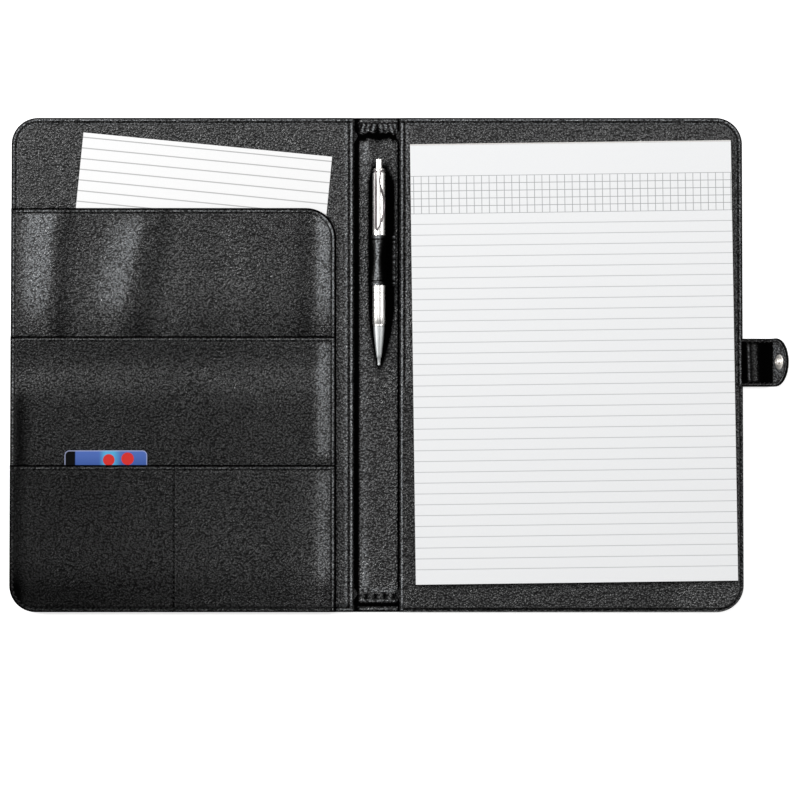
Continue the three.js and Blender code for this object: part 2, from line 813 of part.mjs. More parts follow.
// One layer of the tab's end, a rectangle with a half round tip, with its rivet hole.
function tabEndLayer(bottom) {
  const radius = tabWidth / 2;
  const shape = new THREE.Shape();
  shape.moveTo(creaseGap, -radius);
  shape.lineTo(tabEndStraight, -radius);
  shape.absarc(tabEndStraight, 0, radius, -Math.PI / 2, Math.PI / 2, false);
  shape.lineTo(creaseGap, radius);
  shape.closePath();
  const hole = new THREE.Path();
  hole.absarc(studReach, 0, rivetRadius + 0.2, 0, 2 * Math.PI, true);
  shape.holes.push(hole);
  const geometry = new THREE.ExtrudeGeometry(shape, { depth: tabLeather, bevelEnabled: false, curveSegments: 12 });
  return facingOut(geometry.translate(0, 0, bottom));
}

function stud() {
  const profile = [
    [0, layerGap],
    [studFlangeRadius - 0.3, layerGap],
    [studFlangeRadius, layerGap + 0.2],
    [studFlangeRadius - 0.4, layerGap + studFlange],
    [studRadius - 0.25, layerGap + studFlange],
    [studRadius, studHeight - 0.7],
    [studRadius - 0.1, studHeight - 0.2],
    [studRadius - 0.6, studHeight],
    [0, studHeight],
  ];
  return turnedUp(profile, 20).translate(studReach, 0, 0);
}

function rivetCap() {
  const under = -2 * tabLeather - 2 * layerGap;
  return turnedUp(
    [
      [0, -layerGap * 0.5],
      [rivetRadius, -layerGap * 0.5],
      [rivetRadius, under],
      [capRadius, under],
      [capRadius - 0.2, under - 0.3],
      [capRadius - 1.2, under - capThickness],
      [0, under - capThickness],
    ],
    20,
  ).translate(studReach, 0, 0);
}

function tabEnd() {
  const group = new THREE.Group();
  group.position.set(tabBendX, tabCentre, strapTop);
  group.rotation.y = -THREE.MathUtils.degToRad(tabBend);
  group.add(
    named("tab_end_inner", tabEndLayer(-tabLeather), "lining"),
    named("tab_end_outer", tabEndLayer(-2 * tabLeather - layerGap), "skin"),
    named("snap_stud", stud(), "steel"),
    named("snap_cap", rivetCap(), "steel"),
  );
  return group;
}

// Press-stud socket in the front cover's outer face, where the stud lands when the folder is closed.
const studAlong = (tabHinge - creaseX) * Math.cos(tilt) - studReach -
  (closedOuterFace + snapStandoff - hemTop - spineWidth) * Math.sin(tilt);
const socketX = -creaseX - studAlong;

function atSocket(profile) {
  return turnedUp(profile, 20).translate(socketX, tabCentre, 0);
}

function socket() {
  const bore = studRadius + 0.3;
  const depth = studHeight - snapStandoff + snapClearance;
  return atSocket([
    [bore, 0.05],
    [socketRadius - 0.3, 0.05],
    [socketRadius, 0.3],
    [socketRadius, socketHeight],
    [0, socketHeight],
    [0, depth],
    [bore, depth],
    [bore, 0.05],
  ]);
}

function socketWasher() {
  const bottom = socketHeight + layerGap;
  return atSocket([
    [0, bottom],
    [socketRadius, bottom],
    [socketRadius, boardTop],
    [0, boardTop],
  ]);
}

function socketHole(bottom, top) {
  return new THREE.CylinderGeometry(socketRadius + 0.3, socketRadius + 0.3, top - bottom, 20)
    .rotateX(Math.PI / 2)
    .translate(socketX, tabCentre, (top + bottom) / 2);
}

function backCover() {
  const group = new THREE.Group();
  group.add(
    named("back_skin", coverSkin(), "skin"),
    named("back_board", coverBoard(), "board"),
    named("back_lining", coverLining(), "lining"),
    named("pad_flap", padFlap(), "lining"),
  );
  return group;
}

function spine() {
  const group = new THREE.Group();
  group.add(
    named("spine_skin", spineSkin(), "skin"),
    named("spine_lining", spineLining(), "lining"),
    named("pen_loop", penLoop(), "skin"),
  );
  return group;
}

function frontCover() {
  const group = new THREE.Group();
  group.add(
    named("front_skin", cut(mirrored(coverSkin()), socketHole(-1, boardBottom)), "skin"),
    named("front_board", cut(mirrored(coverBoard()), socketHole(skinTop, boardTop + 1)), "board"),
    named("front_lining", mirrored(coverLining()), "lining"),
    named("document_pocket", documentPocket(), "lining"),
    named("middle_pocket", middlePocket(), "lining"),
    named("card_pocket", cardPocket(), "lining"),
    named("snap_socket", socket(), "steel"),
    named("socket_washer", socketWasher(), "dull"),
  );
  return group;
}

function closingTab() {
  const group = new THREE.Group();
  group.add(
    named("tab_strap_outer", strapLayer(boardBottom), "skin"),
    named("tab_strap_inner", strapLayer(boardBottom + tabLeather + layerGap), "lining"),
    tabEnd(),
  );
  return group;
}

const folder = new THREE.Group();
folder.add(
  backCover(),
  spine(),
  frontCover(),
  looseSheet(),
  named("plastic_card", plasticCard(), "card"),
  writingPad(),
  pen(),
  closingTab(),
);

export default folder;
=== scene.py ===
# Document folder, open on a table: two leather covers and a spine, three pockets with a loose sheet and a
# card, a writing pad, a click pen in its loop, and a closing tab with a press stud. Metres, in the frame of
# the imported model: +X to the closing tab, +Y to the pad's head, +Z up from the table.
import json
import math

import bpy
import numpy as np
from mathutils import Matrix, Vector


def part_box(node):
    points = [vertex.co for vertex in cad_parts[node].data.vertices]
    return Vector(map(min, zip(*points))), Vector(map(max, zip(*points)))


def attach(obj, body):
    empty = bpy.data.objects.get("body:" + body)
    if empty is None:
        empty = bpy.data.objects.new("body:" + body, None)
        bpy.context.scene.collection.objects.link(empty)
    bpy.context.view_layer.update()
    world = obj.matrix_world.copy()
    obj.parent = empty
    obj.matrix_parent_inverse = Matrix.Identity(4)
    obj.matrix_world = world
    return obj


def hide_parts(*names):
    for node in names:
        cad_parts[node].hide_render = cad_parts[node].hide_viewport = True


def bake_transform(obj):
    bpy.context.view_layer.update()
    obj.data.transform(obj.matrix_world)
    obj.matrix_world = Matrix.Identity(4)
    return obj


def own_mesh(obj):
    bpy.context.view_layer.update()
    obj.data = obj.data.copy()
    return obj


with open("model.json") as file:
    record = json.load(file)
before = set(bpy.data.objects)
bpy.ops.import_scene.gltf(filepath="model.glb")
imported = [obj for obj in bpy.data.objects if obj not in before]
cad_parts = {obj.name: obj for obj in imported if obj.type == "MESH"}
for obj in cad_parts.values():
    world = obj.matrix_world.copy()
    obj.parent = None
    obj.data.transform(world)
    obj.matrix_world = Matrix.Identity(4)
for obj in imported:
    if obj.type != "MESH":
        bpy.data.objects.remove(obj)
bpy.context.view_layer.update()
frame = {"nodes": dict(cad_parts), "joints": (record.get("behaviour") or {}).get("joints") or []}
MM = 0.001

# The outer leather is coated leather board in two halves that meet along the middle of the spine's back.
# Each half bends at its crease, where a shallow line is pressed in, and is sewn to the lining all round.
# The front half has a round hole for the press stud's socket, near its fore edge.
spine_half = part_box("spine_skin")[1].x
cover_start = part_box("back_skin")[0].x
fore_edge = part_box("back_skin")[1].x
half_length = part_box("back_skin")[1].y
crease = (spine_half + cover_start) / 2 + 0.15 * MM
corner_radius = 17.5 * MM
inner_corner = 1.6 * MM
skin_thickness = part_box("back_skin")[1].z
hem_stitch = 2.8 * MM
stitch_pitch = 3.4 * MM
thread = 0.5 * MM


def ease(low, high, value):
    """Smoothstep: 0 up to low, 1 from high on, and 3t^2 - 2t^3 between them."""
    t = np.clip((value - low) / (high - low), 0, 1)
    return t * t * (3 - 2 * t)


def hump(centre, width, value):
    """Bell curve: exp(-((value - centre) / width)^2)."""
    return np.exp(-(((value - centre) / width) ** 2))


def shaded(light, dark):
    """Painted light and shade, from 1 for a painted highlight to -1 for black painted shade: light (1 - dark)
    - dark.
    """
    dark = np.clip(dark, 0, 1)
    return light * (1 - dark) - dark


def merged(*parts):
    """All the places of several lists, in order and each once."""
    return np.unique(np.concatenate(parts).round(7))


def stations(*spans):
    """Places along a line, in metres. Each span gives its start, its end and its spacing, in millimetres."""
    return merged(*(np.linspace(a, b, max(2, round(abs(b - a) / step) + 1)) for a, b, step in spans)) * MM


def corners_of(node):
    """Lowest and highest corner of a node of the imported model, as arrays."""
    return tuple(np.array(corner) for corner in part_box(node))


def piece(name, points, quads, caps=(), sharp=42):
    """Mesh object from an array of points, an array of quads and a list of flat end faces.

    Its signed volume is the sum of a . (b x c) / 6 over its triangles. Where that is negative, every face
    is turned.
    """
    triangles = [quads[:, [0, 1, 2]], quads[:, [0, 2, 3]]]
    for cap in caps:
        fan = [np.full(len(cap) - 2, cap[0]), cap[1:-1], cap[2:]]
        triangles.append(np.stack(fan, axis=1))
    corner = points[np.concatenate(triangles)]
    volume = np.einsum("ij,ij->i", corner[:, 0], np.cross(corner[:, 1], corner[:, 2])).sum()
    faces = quads.tolist() + [list(cap) for cap in caps]
    if volume < 0:
        faces = [face[::-1] for face in faces]
    mesh = bpy.data.meshes.new(name)
    mesh.from_pydata(points.tolist(), [], faces)
    mesh.polygons.foreach_set("use_smooth", np.ones(len(faces), bool))
    mesh.set_sharp_from_angle(angle=math.radians(sharp))
    made = bpy.data.objects.new(name, mesh)
    bpy.context.scene.collection.objects.link(made)
    return made


def skinned(name, rings, closed=False, sharp=42):
    """Piece from rings of points, closed in a loop or with flat ends."""
    number = np.arange(rings[..., 0].size).reshape(rings.shape[:2])
    rows = np.concatenate([number, number[:1]]) if closed else number
    after = np.roll(rows, -1, axis=1)
    quads = np.stack([rows[:-1], after[:-1], after[1:], rows[1:]], axis=-1).reshape(-1, 4)
    caps = () if closed else (number[0][::-1], number[-1])
    return piece(name, rings.reshape(-1, 3), quads, caps, sharp)


def closed_sheet(name, upper, lower, shade=None):
    """Solid between two grids of points: quads over both faces, and a rim of quads that joins their edges.

    A shade, one number for each place of the grid, is kept in the mesh for the upper face: above 0 for a
    painted highlight or sheen, and below 0 for painted shade at seams, creases and hollows.
    """
    rows, columns = upper.shape[:2]
    count = rows * columns
    number = np.arange(count).reshape(rows, columns)
    face = np.stack(
        [number[:-1, :-1], number[:-1, 1:], number[1:, 1:], number[1:, :-1]], axis=-1
    ).reshape(-1, 4)
    rim = np.concatenate([number[0], number[1:, -1], number[-1, -2::-1], number[-2:0:-1, 0]])
    after = np.roll(rim, -1)
    wall = np.stack([rim + count, after + count, after, rim], axis=1)
    points = np.concatenate([upper.reshape(-1, 3), lower.reshape(-1, 3)])
    made = piece(name, points, np.concatenate([face, face[:, ::-1] + count, wall]))
    if shade is not None:
        values = np.zeros(2 * count, np.float32)
        values[:count] = shade.ravel()
        made.data.attributes.new("shade", "FLOAT", "POINT").data.foreach_set("value", values)
    return made


def rounded(distance, radius):
    """How far a round edge falls, or a round corner draws a side in, at a distance in from it.

    It is radius - sqrt(radius^2 - (radius - distance)^2), and 0 past the radius.
    """
    inside = np.clip(radius - distance, 0, radius)
    return radius - np.sqrt(radius**2 - inside**2)


def leaf(name, x, y, left, right, upper, lower, shade=None):
    """Leather sheet on a grid of columns x and rows y, whose heights and shade are functions of both.

    The sides are drawn in by left(y) and right(y). A column moves in by the full amount at the side and by
    less and less up to 40 mm from it, so that the columns lean round the corners.
    """
    keep, reach = 4 * MM, 40 * MM
    near = 1 - np.clip((x - x[0] - keep) / (reach - keep), 0, 1)
    far = 1 - np.clip((x[-1] - x - keep) / (reach - keep), 0, 1)
    rows = y[:, None]
    across = x + left(rows) * near - right(rows) * far
    up = np.broadcast_to(rows, across.shape)
    top = np.stack([across, up, upper(across, up)], axis=-1)
    bottom = np.stack([across, up, lower(across, up)], axis=-1)
    return closed_sheet(name, top, bottom, shade and shade(across, up))


def arc_points(centre, radius, angles):
    """Points of a plane on an arc round a centre, at angles in radians."""
    return np.column_stack([centre[0] + radius * np.cos(angles), centre[1] + radius * np.sin(angles)])


def from_edge(x, y):
    """Distance in from a cover's fore edge, head, foot and outer corners.

    It is the smaller distance to the two sides, and in a corner its radius less the distance to its centre.
    """
    fore, end = fore_edge - np.abs(x), half_length - np.abs(y)
    in_corner = np.hypot(np.maximum(corner_radius - fore, 0), np.maximum(corner_radius - end, 0))
    return np.where(
        (fore < corner_radius) & (end < corner_radius), corner_radius - in_corner, np.minimum(fore, end)
    )


def outer_draw(rows):
    return rounded(half_length - np.abs(rows), corner_radius)


def inner_draw(rows):
    return rounded(half_length - np.abs(rows), inner_corner)


def straight(rows):
    return np.zeros_like(rows)


end_rows = stations((0, 0.5, 0.12), (0.5, 7, 0.4), (7, 17.5, 0.9))
edge_columns = stations((0, 0.5, 0.12), (0.5, 7, 0.4), (7, 26, 1.5))
straight_end = half_length / MM - 17.5
last_column = 214  # mm, where a cover's evenly spaced columns end
cover_rows = merged(
    -half_length + end_rows, stations((-straight_end, straight_end, 4)), half_length - end_rows
)


def cover_leaf(side, name, columns, inner, upper, lower, shade=None):
    """Sheet of a cover, given for the back one: on the front it is turned over from right to left."""
    if side == "back":
        return leaf(name, columns, cover_rows, inner, outer_draw, upper, lower, shade)
    return leaf(name, -columns[::-1], cover_rows, outer_draw, inner, upper, lower, shade)


class Socket:
    """A node's output. Its operators add Math nodes, so that a pattern reads as a sum."""

    def __init__(self, owner, output):
        self.owner, self.output = owner, output

    def math(self, operation, *values):
        inputs = dict(enumerate((self, *values)))
        return self.owner.add("ShaderNodeMath", {"operation": operation}, inputs)

    def __add__(self, other):
        return self.math("ADD", other)

    def __mul__(self, other):
        return self.math("MULTIPLY", other)

    def __sub__(self, other):
        return self.math("SUBTRACT", other)

    def __rsub__(self, other):
        return self.owner.add("ShaderNodeMath", {"operation": "SUBTRACT"}, {0: other, 1: self})

    def between(self, low, high, to_low=0.0, to_high=1.0):
        """The value carried from one range to another by a smooth step."""
        settings = {"interpolation_type": "SMOOTHSTEP"}
        inputs = {"Value": self, "From Min": low, "From Max": high, "To Min": to_low, "To Max": to_high}
        return self.owner.add("ShaderNodeMapRange", settings, inputs)


class Nodes:
    """A node tree under construction: add() makes a node, and feed() links or sets its inputs."""

    def __init__(self, tree):
        self.tree = tree

    def feed(self, node, inputs):
        for key, value in inputs.items():
            socket = node.inputs[key.replace("_", " ") if isinstance(key, str) else key]
            if isinstance(value, Socket):
                self.tree.links.new(value.output, socket)
            else:
                socket.default_value = value

    def add(self, kind, settings=None, inputs=None, output=0):
        node = self.tree.nodes.new(kind)
        for key, value in (settings or {}).items():
            if key == "stops":
                ramp = node.color_ramp
                while len(ramp.elements) < len(value):
                    ramp.elements.new(1.0)
                for element, (at, tone) in zip(ramp.elements, value):
                    element.position, element.color = at, tone
            else:
                setattr(node, key, value)
        self.feed(node, inputs or {})
        return Socket(self, node.outputs[output])


class Finish(Nodes):
    """A material under construction: surface() feeds its shader."""

    def __init__(self, name, **constants):
        self.material = bpy.data.materials.new(name)
        self.material.use_nodes = True
        super().__init__(self.material.node_tree)
        self.shader = self.tree.nodes["Principled BSDF"]
        self.feed(self.shader, constants)
        self.place = self.add("ShaderNodeTexCoord", output="Object")

    def noise(self, scale, detail=2.0, vector=None):
        inputs = {"Vector": vector or self.place, "Scale": scale, "Detail": detail}
        return self.add("ShaderNodeTexNoise", None, inputs)

    def axes(self, vector=None):
        """The three numbers of a vector."""
        separate = self.add("ShaderNodeSeparateXYZ", None, {0: vector or self.place})
        return [Socket(self, output) for output in separate.output.node.outputs]

    def blend(self, factor, one, two):
        """Colour between two colours by a factor."""
        return self.add("ShaderNodeMix", {"data_type": "RGBA"}, {0: factor, 6: one, 7: two}, 2)

    def bump(self, height, distance):
        return self.add("ShaderNodeBump", None, {"Height": height, "Distance": distance, "Strength": 1.0})

    def surface(self, **links):
        self.feed(self.shader, links)
        return self.material

    def mixed_with_painted_shade(self, share):
        """Mixes the shader with a dull black one, by a share: the painted shade of creases, seams and
        hollows.
        """
        settings = {"Base Color": grey(0.0008), "Roughness": 1.0, "Specular IOR Level": 0.0}
        dull = self.add("ShaderNodeBsdfPrincipled", None, settings)
        mixed = self.add(
            "ShaderNodeMixShader", None, {0: share, 1: Socket(self, self.shader.outputs[0]), 2: dull}
        )
        self.tree.links.new(mixed.output, self.tree.nodes["Material Output"].inputs["Surface"])


def grey(level, warmth=0.0):
    """Linear colour of one level, a little redder or bluer by its warmth."""
    return (level * (1 + warmth), level, level * (1 - warmth), 1.0)


def leather(name, pebble, dark, light, roughness, depth, shine, crease_shade_share=0.42):
    """Coated leather with a pebbled grain.

    Pebbles are domes round scattered points, 1 - distance, on coordinates that a wider noise shifts. A noise
    twice as wide as a pebble and a weak fine one vary their height. The creases between them get painted
    shade: they are darker and duller than their tops. Broad noises vary the polish, and the mesh's own shade
    paints light and shade: a painted sheen lightens folds and beads, and painted shade makes seams, channels
    and hollows dark and dull.
    """
    finish = Finish(name, Specular_IOR_Level=shine)
    shift = finish.add(
        "ShaderNodeTexNoise", None, {"Vector": finish.place, "Scale": 0.55 / pebble, "Detail": 1.0}, 1
    )
    scaled = finish.add("ShaderNodeVectorMath", {"operation": "SCALE"}, {0: shift, "Scale": 0.8 * pebble})
    warped = finish.add("ShaderNodeVectorMath", {"operation": "ADD"}, {0: finish.place, 1: scaled})
    cells = {"Vector": warped, "Scale": 1 / pebble, "Randomness": 1.0, "Smoothness": 0.35}
    domes = 1 - finish.add("ShaderNodeTexVoronoi", {"feature": "SMOOTH_F1"}, cells)
    swell = finish.noise(0.5 / pebble, 1.0)
    fine = finish.noise(2.6 / pebble, 2.0)
    height = domes * 1.4 + swell * 0.45 + fine * 0.12
    broad = finish.noise(26.0, 3.0)
    patches = finish.noise(150.0, 2.0)
    shade = finish.add("ShaderNodeAttribute", {"attribute_name": "shade"}, output=2)
    # The mesh's shade: above 0 a painted sheen that lightens the colour, below 0 painted shade that mixes in
    # black.
    painted_sheen, seam = shade.math("MAXIMUM", 0.0), 0 - shade.math("MINIMUM", 0.0)
    tone = (
        (domes - 0.5) * 1.8 + (swell - 0.5) * 0.8 + (broad - 0.5) * 0.4 + (patches - 0.5) * 0.7 + 0.5
        + painted_sheen * 0.2
    ).between(0.0, 1.0)
    gloss = roughness + 0.2 - tone * 0.2 - (broad - 0.5) * 0.2 - (patches - 0.5) * 0.25 - painted_sheen * 0.08
    bare = finish.blend(tone, grey(dark), grey(light, -0.03))
    # Painted sheen: a lighter colour where the mesh's shade is above 0.
    sheen_painted_colour = finish.blend(painted_sheen, bare, finish.blend(tone, grey(0.03, -0.03), grey(0.36, -0.05)))
    # Painted shade in the creases between pebbles and where the mesh's shade is below 0, by a mix with dull
    # black.
    crease_shade = (1 - domes.between(0.3, 0.62)) * (1 - painted_sheen).math("MAXIMUM", 0.0) * crease_shade_share
    finish.mixed_with_painted_shade((1 - (1 - crease_shade) * (1 - seam)).math("MINIMUM", 1.0))
    return finish.surface(
        Base_Color=sheen_painted_colour,
        Roughness=gloss.math("MINIMUM", 1.0),
        Normal=finish.bump(height, depth),
    )


outer_finish = leather("outer_leather", 1.5 * MM, 0.001, 0.012, 0.38, 0.5 * MM, 0.26)


def pressed_line(x):
    return 0.25 * MM * hump(crease, 0.9 * MM, np.abs(x))


def skin_under(x, y):
    """Underside: flat on the table, with a round edge and the crease line pressed in."""
    return rounded(from_edge(x, y), 0.5 * MM) + pressed_line(x)


def skin_over(x, y):
    return skin_thickness - rounded(from_edge(x, y), 0.25 * MM)


def shown(made, material, body=None, stands_for=()):
    """Gives a piece its material, the nodes that it replaces and the body it rides on."""
    made.data.materials.append(material)
    if stands_for:
        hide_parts(*stands_for)
    if body:
        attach(made, body)
    return made


skin_columns = merged(stations((0, 9, 3), (9, 21, 0.5), (21, last_column, 6)), fore_edge - edge_columns)
back_skin, front_skin = (
    cover_leaf(side, f"outer_leather_{side}", skin_columns, straight, skin_over, skin_under)
    for side in ("back", "front")
)
socket_low, socket_high = corners_of("snap_socket")
socket_centre = (socket_low + socket_high) / 2
socket_radius = (socket_high - socket_low)[0] / 2


def turned(name, profile, centre, axis=(0, 0, 1), sides=64, closed=False):
    """Solid of revolution: each (radius, height) of the profile goes round the axis through a centre.

    An open profile ends in flat round faces. A closed one, as of a ring or a tube, joins its last point to
    its first.
    """
    profile = np.array(profile, float)
    axis = np.array(axis, float) / np.linalg.norm(axis)
    aside = np.cross(axis, (0, 1, 0) if abs(axis[1]) < 0.9 else (1, 0, 0))
    aside /= np.linalg.norm(aside)
    third = np.cross(axis, aside)
    angle = np.linspace(0, 2 * np.pi, sides, endpoint=False)
    ring = np.cos(angle)[:, None] * aside + np.sin(angle)[:, None] * third
    rings = np.array(centre) + profile[:, :1, None] * ring + profile[:, 1:, None] * axis
    return skinned(name, rings, closed, sharp=30)


hole_radius = socket_radius + 0.3 * MM
punch = turned(
    "punch", [(hole_radius, -5 * MM), (hole_radius, 5 * MM)], (socket_centre[0], socket_centre[1], 0)
)
cutting = front_skin.modifiers.new("hole", "BOOLEAN")
cutting.object, cutting.operation, cutting.solver = punch, "DIFFERENCE", "EXACT"
whole = front_skin.data
front_skin.data = bpy.data.meshes.new_from_object(
    front_skin.evaluated_get(bpy.context.evaluated_depsgraph_get())
)
front_skin.modifiers.clear()
bpy.data.meshes.remove(whole)
bpy.data.objects.remove(punch)
shown(back_skin, outer_finish, stands_for=("back_skin", "spine_skin"))
shown(front_skin, outer_finish, stands_for=("front_skin",))
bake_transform(back_skin)
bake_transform(front_skin)

# Inside each cover, between leather and lining, lies a stiffening board of grey pressed paper, faced with
# foam. Nothing fixes it but the seams round it.
board = Finish("pressed_board", Roughness=0.9)
flecks = board.noise(900.0, 4.0)
board_surface = board.surface(
    Base_Color=board.blend(flecks.between(0.3, 0.7), grey(0.16, 0.06), grey(0.26, 0.08)),
    Normal=board.bump(flecks, 0.05 * MM),
)


def refinish(node, material):
    """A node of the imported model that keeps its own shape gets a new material."""
    mesh = frame["nodes"][node].data
    mesh.materials.clear()
    mesh.materials.append(material)


for node in ("back_board", "front_board"):
    refinish(node, board_surface)

# The covers' linings are softer leather with a fine pebbled grain. Head, fore edge and foot are turned over
# the outer leather as a flat hem, stitched 2.8 mm in, and the board's foam lifts the lining inside it. At
# the spine the lining folds down round the board, and its stitches press a groove beside that fold.
lining_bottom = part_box("back_lining")[0].z
lining_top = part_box("back_lining")[1].z
leather_thickness = 0.8 * MM
hem_top = lining_bottom + leather_thickness
hem_width, hem_rise = 3.2 * MM, 3.4 * MM
fold_round = 0.9 * MM
spine_stitch = 2.8 * MM
stitch_corner = 3.3 * MM
lining_finish = leather("lining_leather", 1.3 * MM, 0.001, 0.026, 0.3, 0.7 * MM, 0.86, 0.66)


def lining_over(x, y):
    """Upper face: hem with round edge and stitch groove, rise over the foam, and fold at the spine."""
    inward, from_spine = from_edge(x, y), np.abs(x) - cover_start
    rise = (lining_top - hem_top) * ease(hem_width - 0.2 * MM, hem_width + hem_rise, inward)
    groove = (
        0.6 * MM * np.maximum(hump(hem_stitch, 0.6 * MM, inward), hump(spine_stitch, 0.6 * MM, from_spine))
    )
    crown = 0.3 * MM * hump(1.2 * MM, 0.8 * MM, inward) + 0.15 * MM * hump(1.3 * MM, 0.8 * MM, from_spine)
    edge = np.maximum(rounded(inward, 0.7 * MM), rounded(from_spine, fold_round) * ease(0, 5 * MM, inward))
    return hem_top + rise - groove + crown - edge


def lining_shade(x, y):
    """Painted shade at the edges and round the stitches, painted highlights on the beads beside them and past
    the fold.
    """
    inward, from_spine = from_edge(x, y), np.abs(x) - cover_start
    inside = ease(1 * MM, 3 * MM, inward)
    seams = np.maximum(
        0.65 * hump(hem_stitch, 0.55 * MM, inward), 0.9 * hump(spine_stitch, 0.6 * MM, from_spine) * inside
    )
    dark = np.maximum.reduce([seams, ease(1.1 * MM, 0.8 * MM, inward), ease(0.35 * MM, 0, from_spine)])
    beads = np.maximum(hump(1.7 * MM, 0.45 * MM, inward), hump(1.1 * MM, 0.6 * MM, from_spine) * inside)
    past = np.maximum(
        0.35 * hump(3.9 * MM, 0.5 * MM, inward), 0.35 * hump(4.4 * MM, 1.1 * MM, from_spine) * inside
    )
    return shaded(np.maximum(0.75 * beads, past), dark)


def lining_under(x, y):
    inner = lining_over(x, y) - leather_thickness
    wall = np.abs(x) - cover_start < leather_thickness
    return np.where(wall, lining_bottom, np.maximum(inner, lining_bottom))


lining_start = cover_start / MM
lining_columns = merged(
    stations((lining_start, lining_start + 7, 0.4), (lining_start + 7, last_column, 4)),
    fore_edge - edge_columns,
)
for side in ("back", "front"):
    lining = cover_leaf(
        side, f"{side}_cover_lining", lining_columns, inner_draw, lining_over, lining_under, lining_shade
    )
    shown(lining, lining_finish, f"{side}_cover", (f"{side}_lining",))


def rounded_path(low, high, radii, steps=12):
    """Closed path round a rectangle, anticlockwise from its lower left, with a radius at each corner."""
    turn = np.linspace(0, np.pi / 2, steps)
    corners = [
        (low[0], low[1], 1, 1), (high[0], low[1], -1, 1), (high[0], high[1], -1, -1),
        (low[0], high[1], 1, -1),
    ]
    runs = []
    for k, ((x, y, inward, upward), radius) in enumerate(zip(corners, radii)):
        centre = (x + inward * radius, y + upward * radius)
        runs.append(arc_points(centre, radius, turn + np.pi + k * np.pi / 2))
    return np.concatenate(runs)


def sewn(name, path, height, closed=False, pitch=stitch_pitch, place=None):
    """Row of stitches along a path: capsules of thread, one a pitch, whose ends dip into the leather.

    Each is six rings of six sides on a half wave, slants across the path and follows the surface's height.
    """
    line = np.concatenate([path, path[:1]]) if closed else np.asarray(path)
    run = np.concatenate([[0], np.cumsum(np.hypot(*np.diff(line, axis=0).T))])
    count = max(1, round(run[-1] / pitch))
    length = run[-1] / count
    starts = (np.arange(count) + 0.1) * length
    along = np.linspace(0, 0.64 * length, 6)
    at = starts[:, None] + along
    x, y = np.interp(at, run, line[:, 0]), np.interp(at, run, line[:, 1])
    across = np.stack([-(y[:, -1] - y[:, 0]), x[:, -1] - x[:, 0]], axis=1)
    across /= np.linalg.norm(across, axis=1)[:, None]
    wave = np.sin(np.pi * along / along[-1])
    thick = thread * (0.6 + 0.4 * wave)
    z = height(x, y) + thread * (0.8 * wave - 0.6)
    slant = (along / along[-1] - 0.5) * 0.9 * MM
    x, y = x + across[:, :1] * slant, y + across[:, 1:] * slant
    angle = np.linspace(0, 2 * np.pi, 6, endpoint=False)
    side, up = np.cos(angle), np.sin(angle)
    width = thick[:, None] * side
    rings = np.stack([
        x[..., None] + across[:, 0, None, None] * width,
        y[..., None] + across[:, 1, None, None] * width,
        z[..., None] + thick[:, None] * up,
    ], axis=-1)
    if place:
        rings = place(rings[..., 0], rings[..., 1], rings[..., 2])
    number = np.arange(rings[..., 0].size).reshape(rings.shape[:3])
    after = np.roll(number, -1, axis=2)
    quads = np.stack([number[:, :-1], after[:, :-1], after[:, 1:], number[:, 1:]], axis=-1).reshape(-1, 4)
    caps = [*number[:, 0, ::-1], *number[:, -1]]
    return piece(name, rings.reshape(-1, 3), quads, caps, sharp=80)


twine = Finish("sewing_thread", Specular_IOR_Level=0.2)
twist = twine.noise(2600.0, 2.0)
thread_finish = twine.surface(
    Base_Color=twine.blend(twist.between(0.3, 0.7), grey(0.0015), grey(0.006)),
    Roughness=twist * 0.3 + 0.4,
    Normal=twine.bump(twist, 0.06 * MM),
)
seam_low = (cover_start + spine_stitch, -half_length + hem_stitch)
seam_high = (fore_edge - hem_stitch, half_length - hem_stitch)
outer_turn = corner_radius - hem_stitch
back_path = rounded_path(seam_low, seam_high, (stitch_corner, outer_turn, outer_turn, stitch_corner))
front_path = back_path[::-1] * (-1, 1)
for layer, height, slot in (
    ("", lining_over, "lining_leather"),
    ("_outer", lambda x, y: skin_under(x, y) + 0.25 * MM, "outer_leather"),
):
    for side, path in (("back", back_path), ("front", front_path)):
        row = sewn(f"{side}_cover{layer}_stitches", path, height, closed=True)
        shown(row, thread_finish, f"{side}_cover")

# The spine's lining is a loose strip of the same leather, sewn at both ends under a narrow hem. It is wider
# than the spine, so its ends are gathered into small uneven folds, and past them it sinks a little.
spine_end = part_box("spine_lining")[1].y
spine_top = 1.7 * MM
end_hem = 3 * MM
gather_length = 8 * MM
hollow = 0.75 * MM
pen_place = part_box("pen_nose_cone")[0].x / 2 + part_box("pen_nose_cone")[1].x / 2
gathers = (
    (-11.6, 1.5, 0.9), (-8.1, 1.2, 1.0), (-5.0, 1.4, 0.75), (-1.4, 1.5, 1.0), (1.9, 1.2, 0.8),
    (5.2, 1.6, 0.95), (8.6, 1.2, 0.7), (11.6, 1.3, 1.0),
)


def spine_over(x, y):
    """Upper face: grooves beside the covers, a hem at each end, and the gathers as a row of bell curves.

    Each gather leans a little along its length and fades towards the middle of the spine.
    """
    along = spine_end - np.abs(y)
    past_hem = along - end_hem
    inside = ease(0, 0.9 * MM, past_hem)
    fade = inside * ease(gather_length, 0.35 * gather_length, past_hem)
    folds = 0
    for centre, width, height in gathers:
        leaning = centre * MM + 0.16 * past_hem * np.sign(centre)
        folds = folds + height * hump(leaning, width * MM * (1 + past_hem / gather_length), x)
    beside = ease(spine_half, spine_half - 3.2 * MM, np.abs(x))
    hem = 0.7 * MM * (1 - inside) * (1 - 0.6 * hump(0.95 * end_hem, 0.5 * MM, along))
    dip = hollow * hump(gather_length * 1.05, 0.5 * gather_length, past_hem)
    channel = 0.55 * MM * (1 - beside)
    return spine_top + hem + 1.0 * MM * folds * fade * beside - dip - channel - rounded(along, 0.5 * MM)


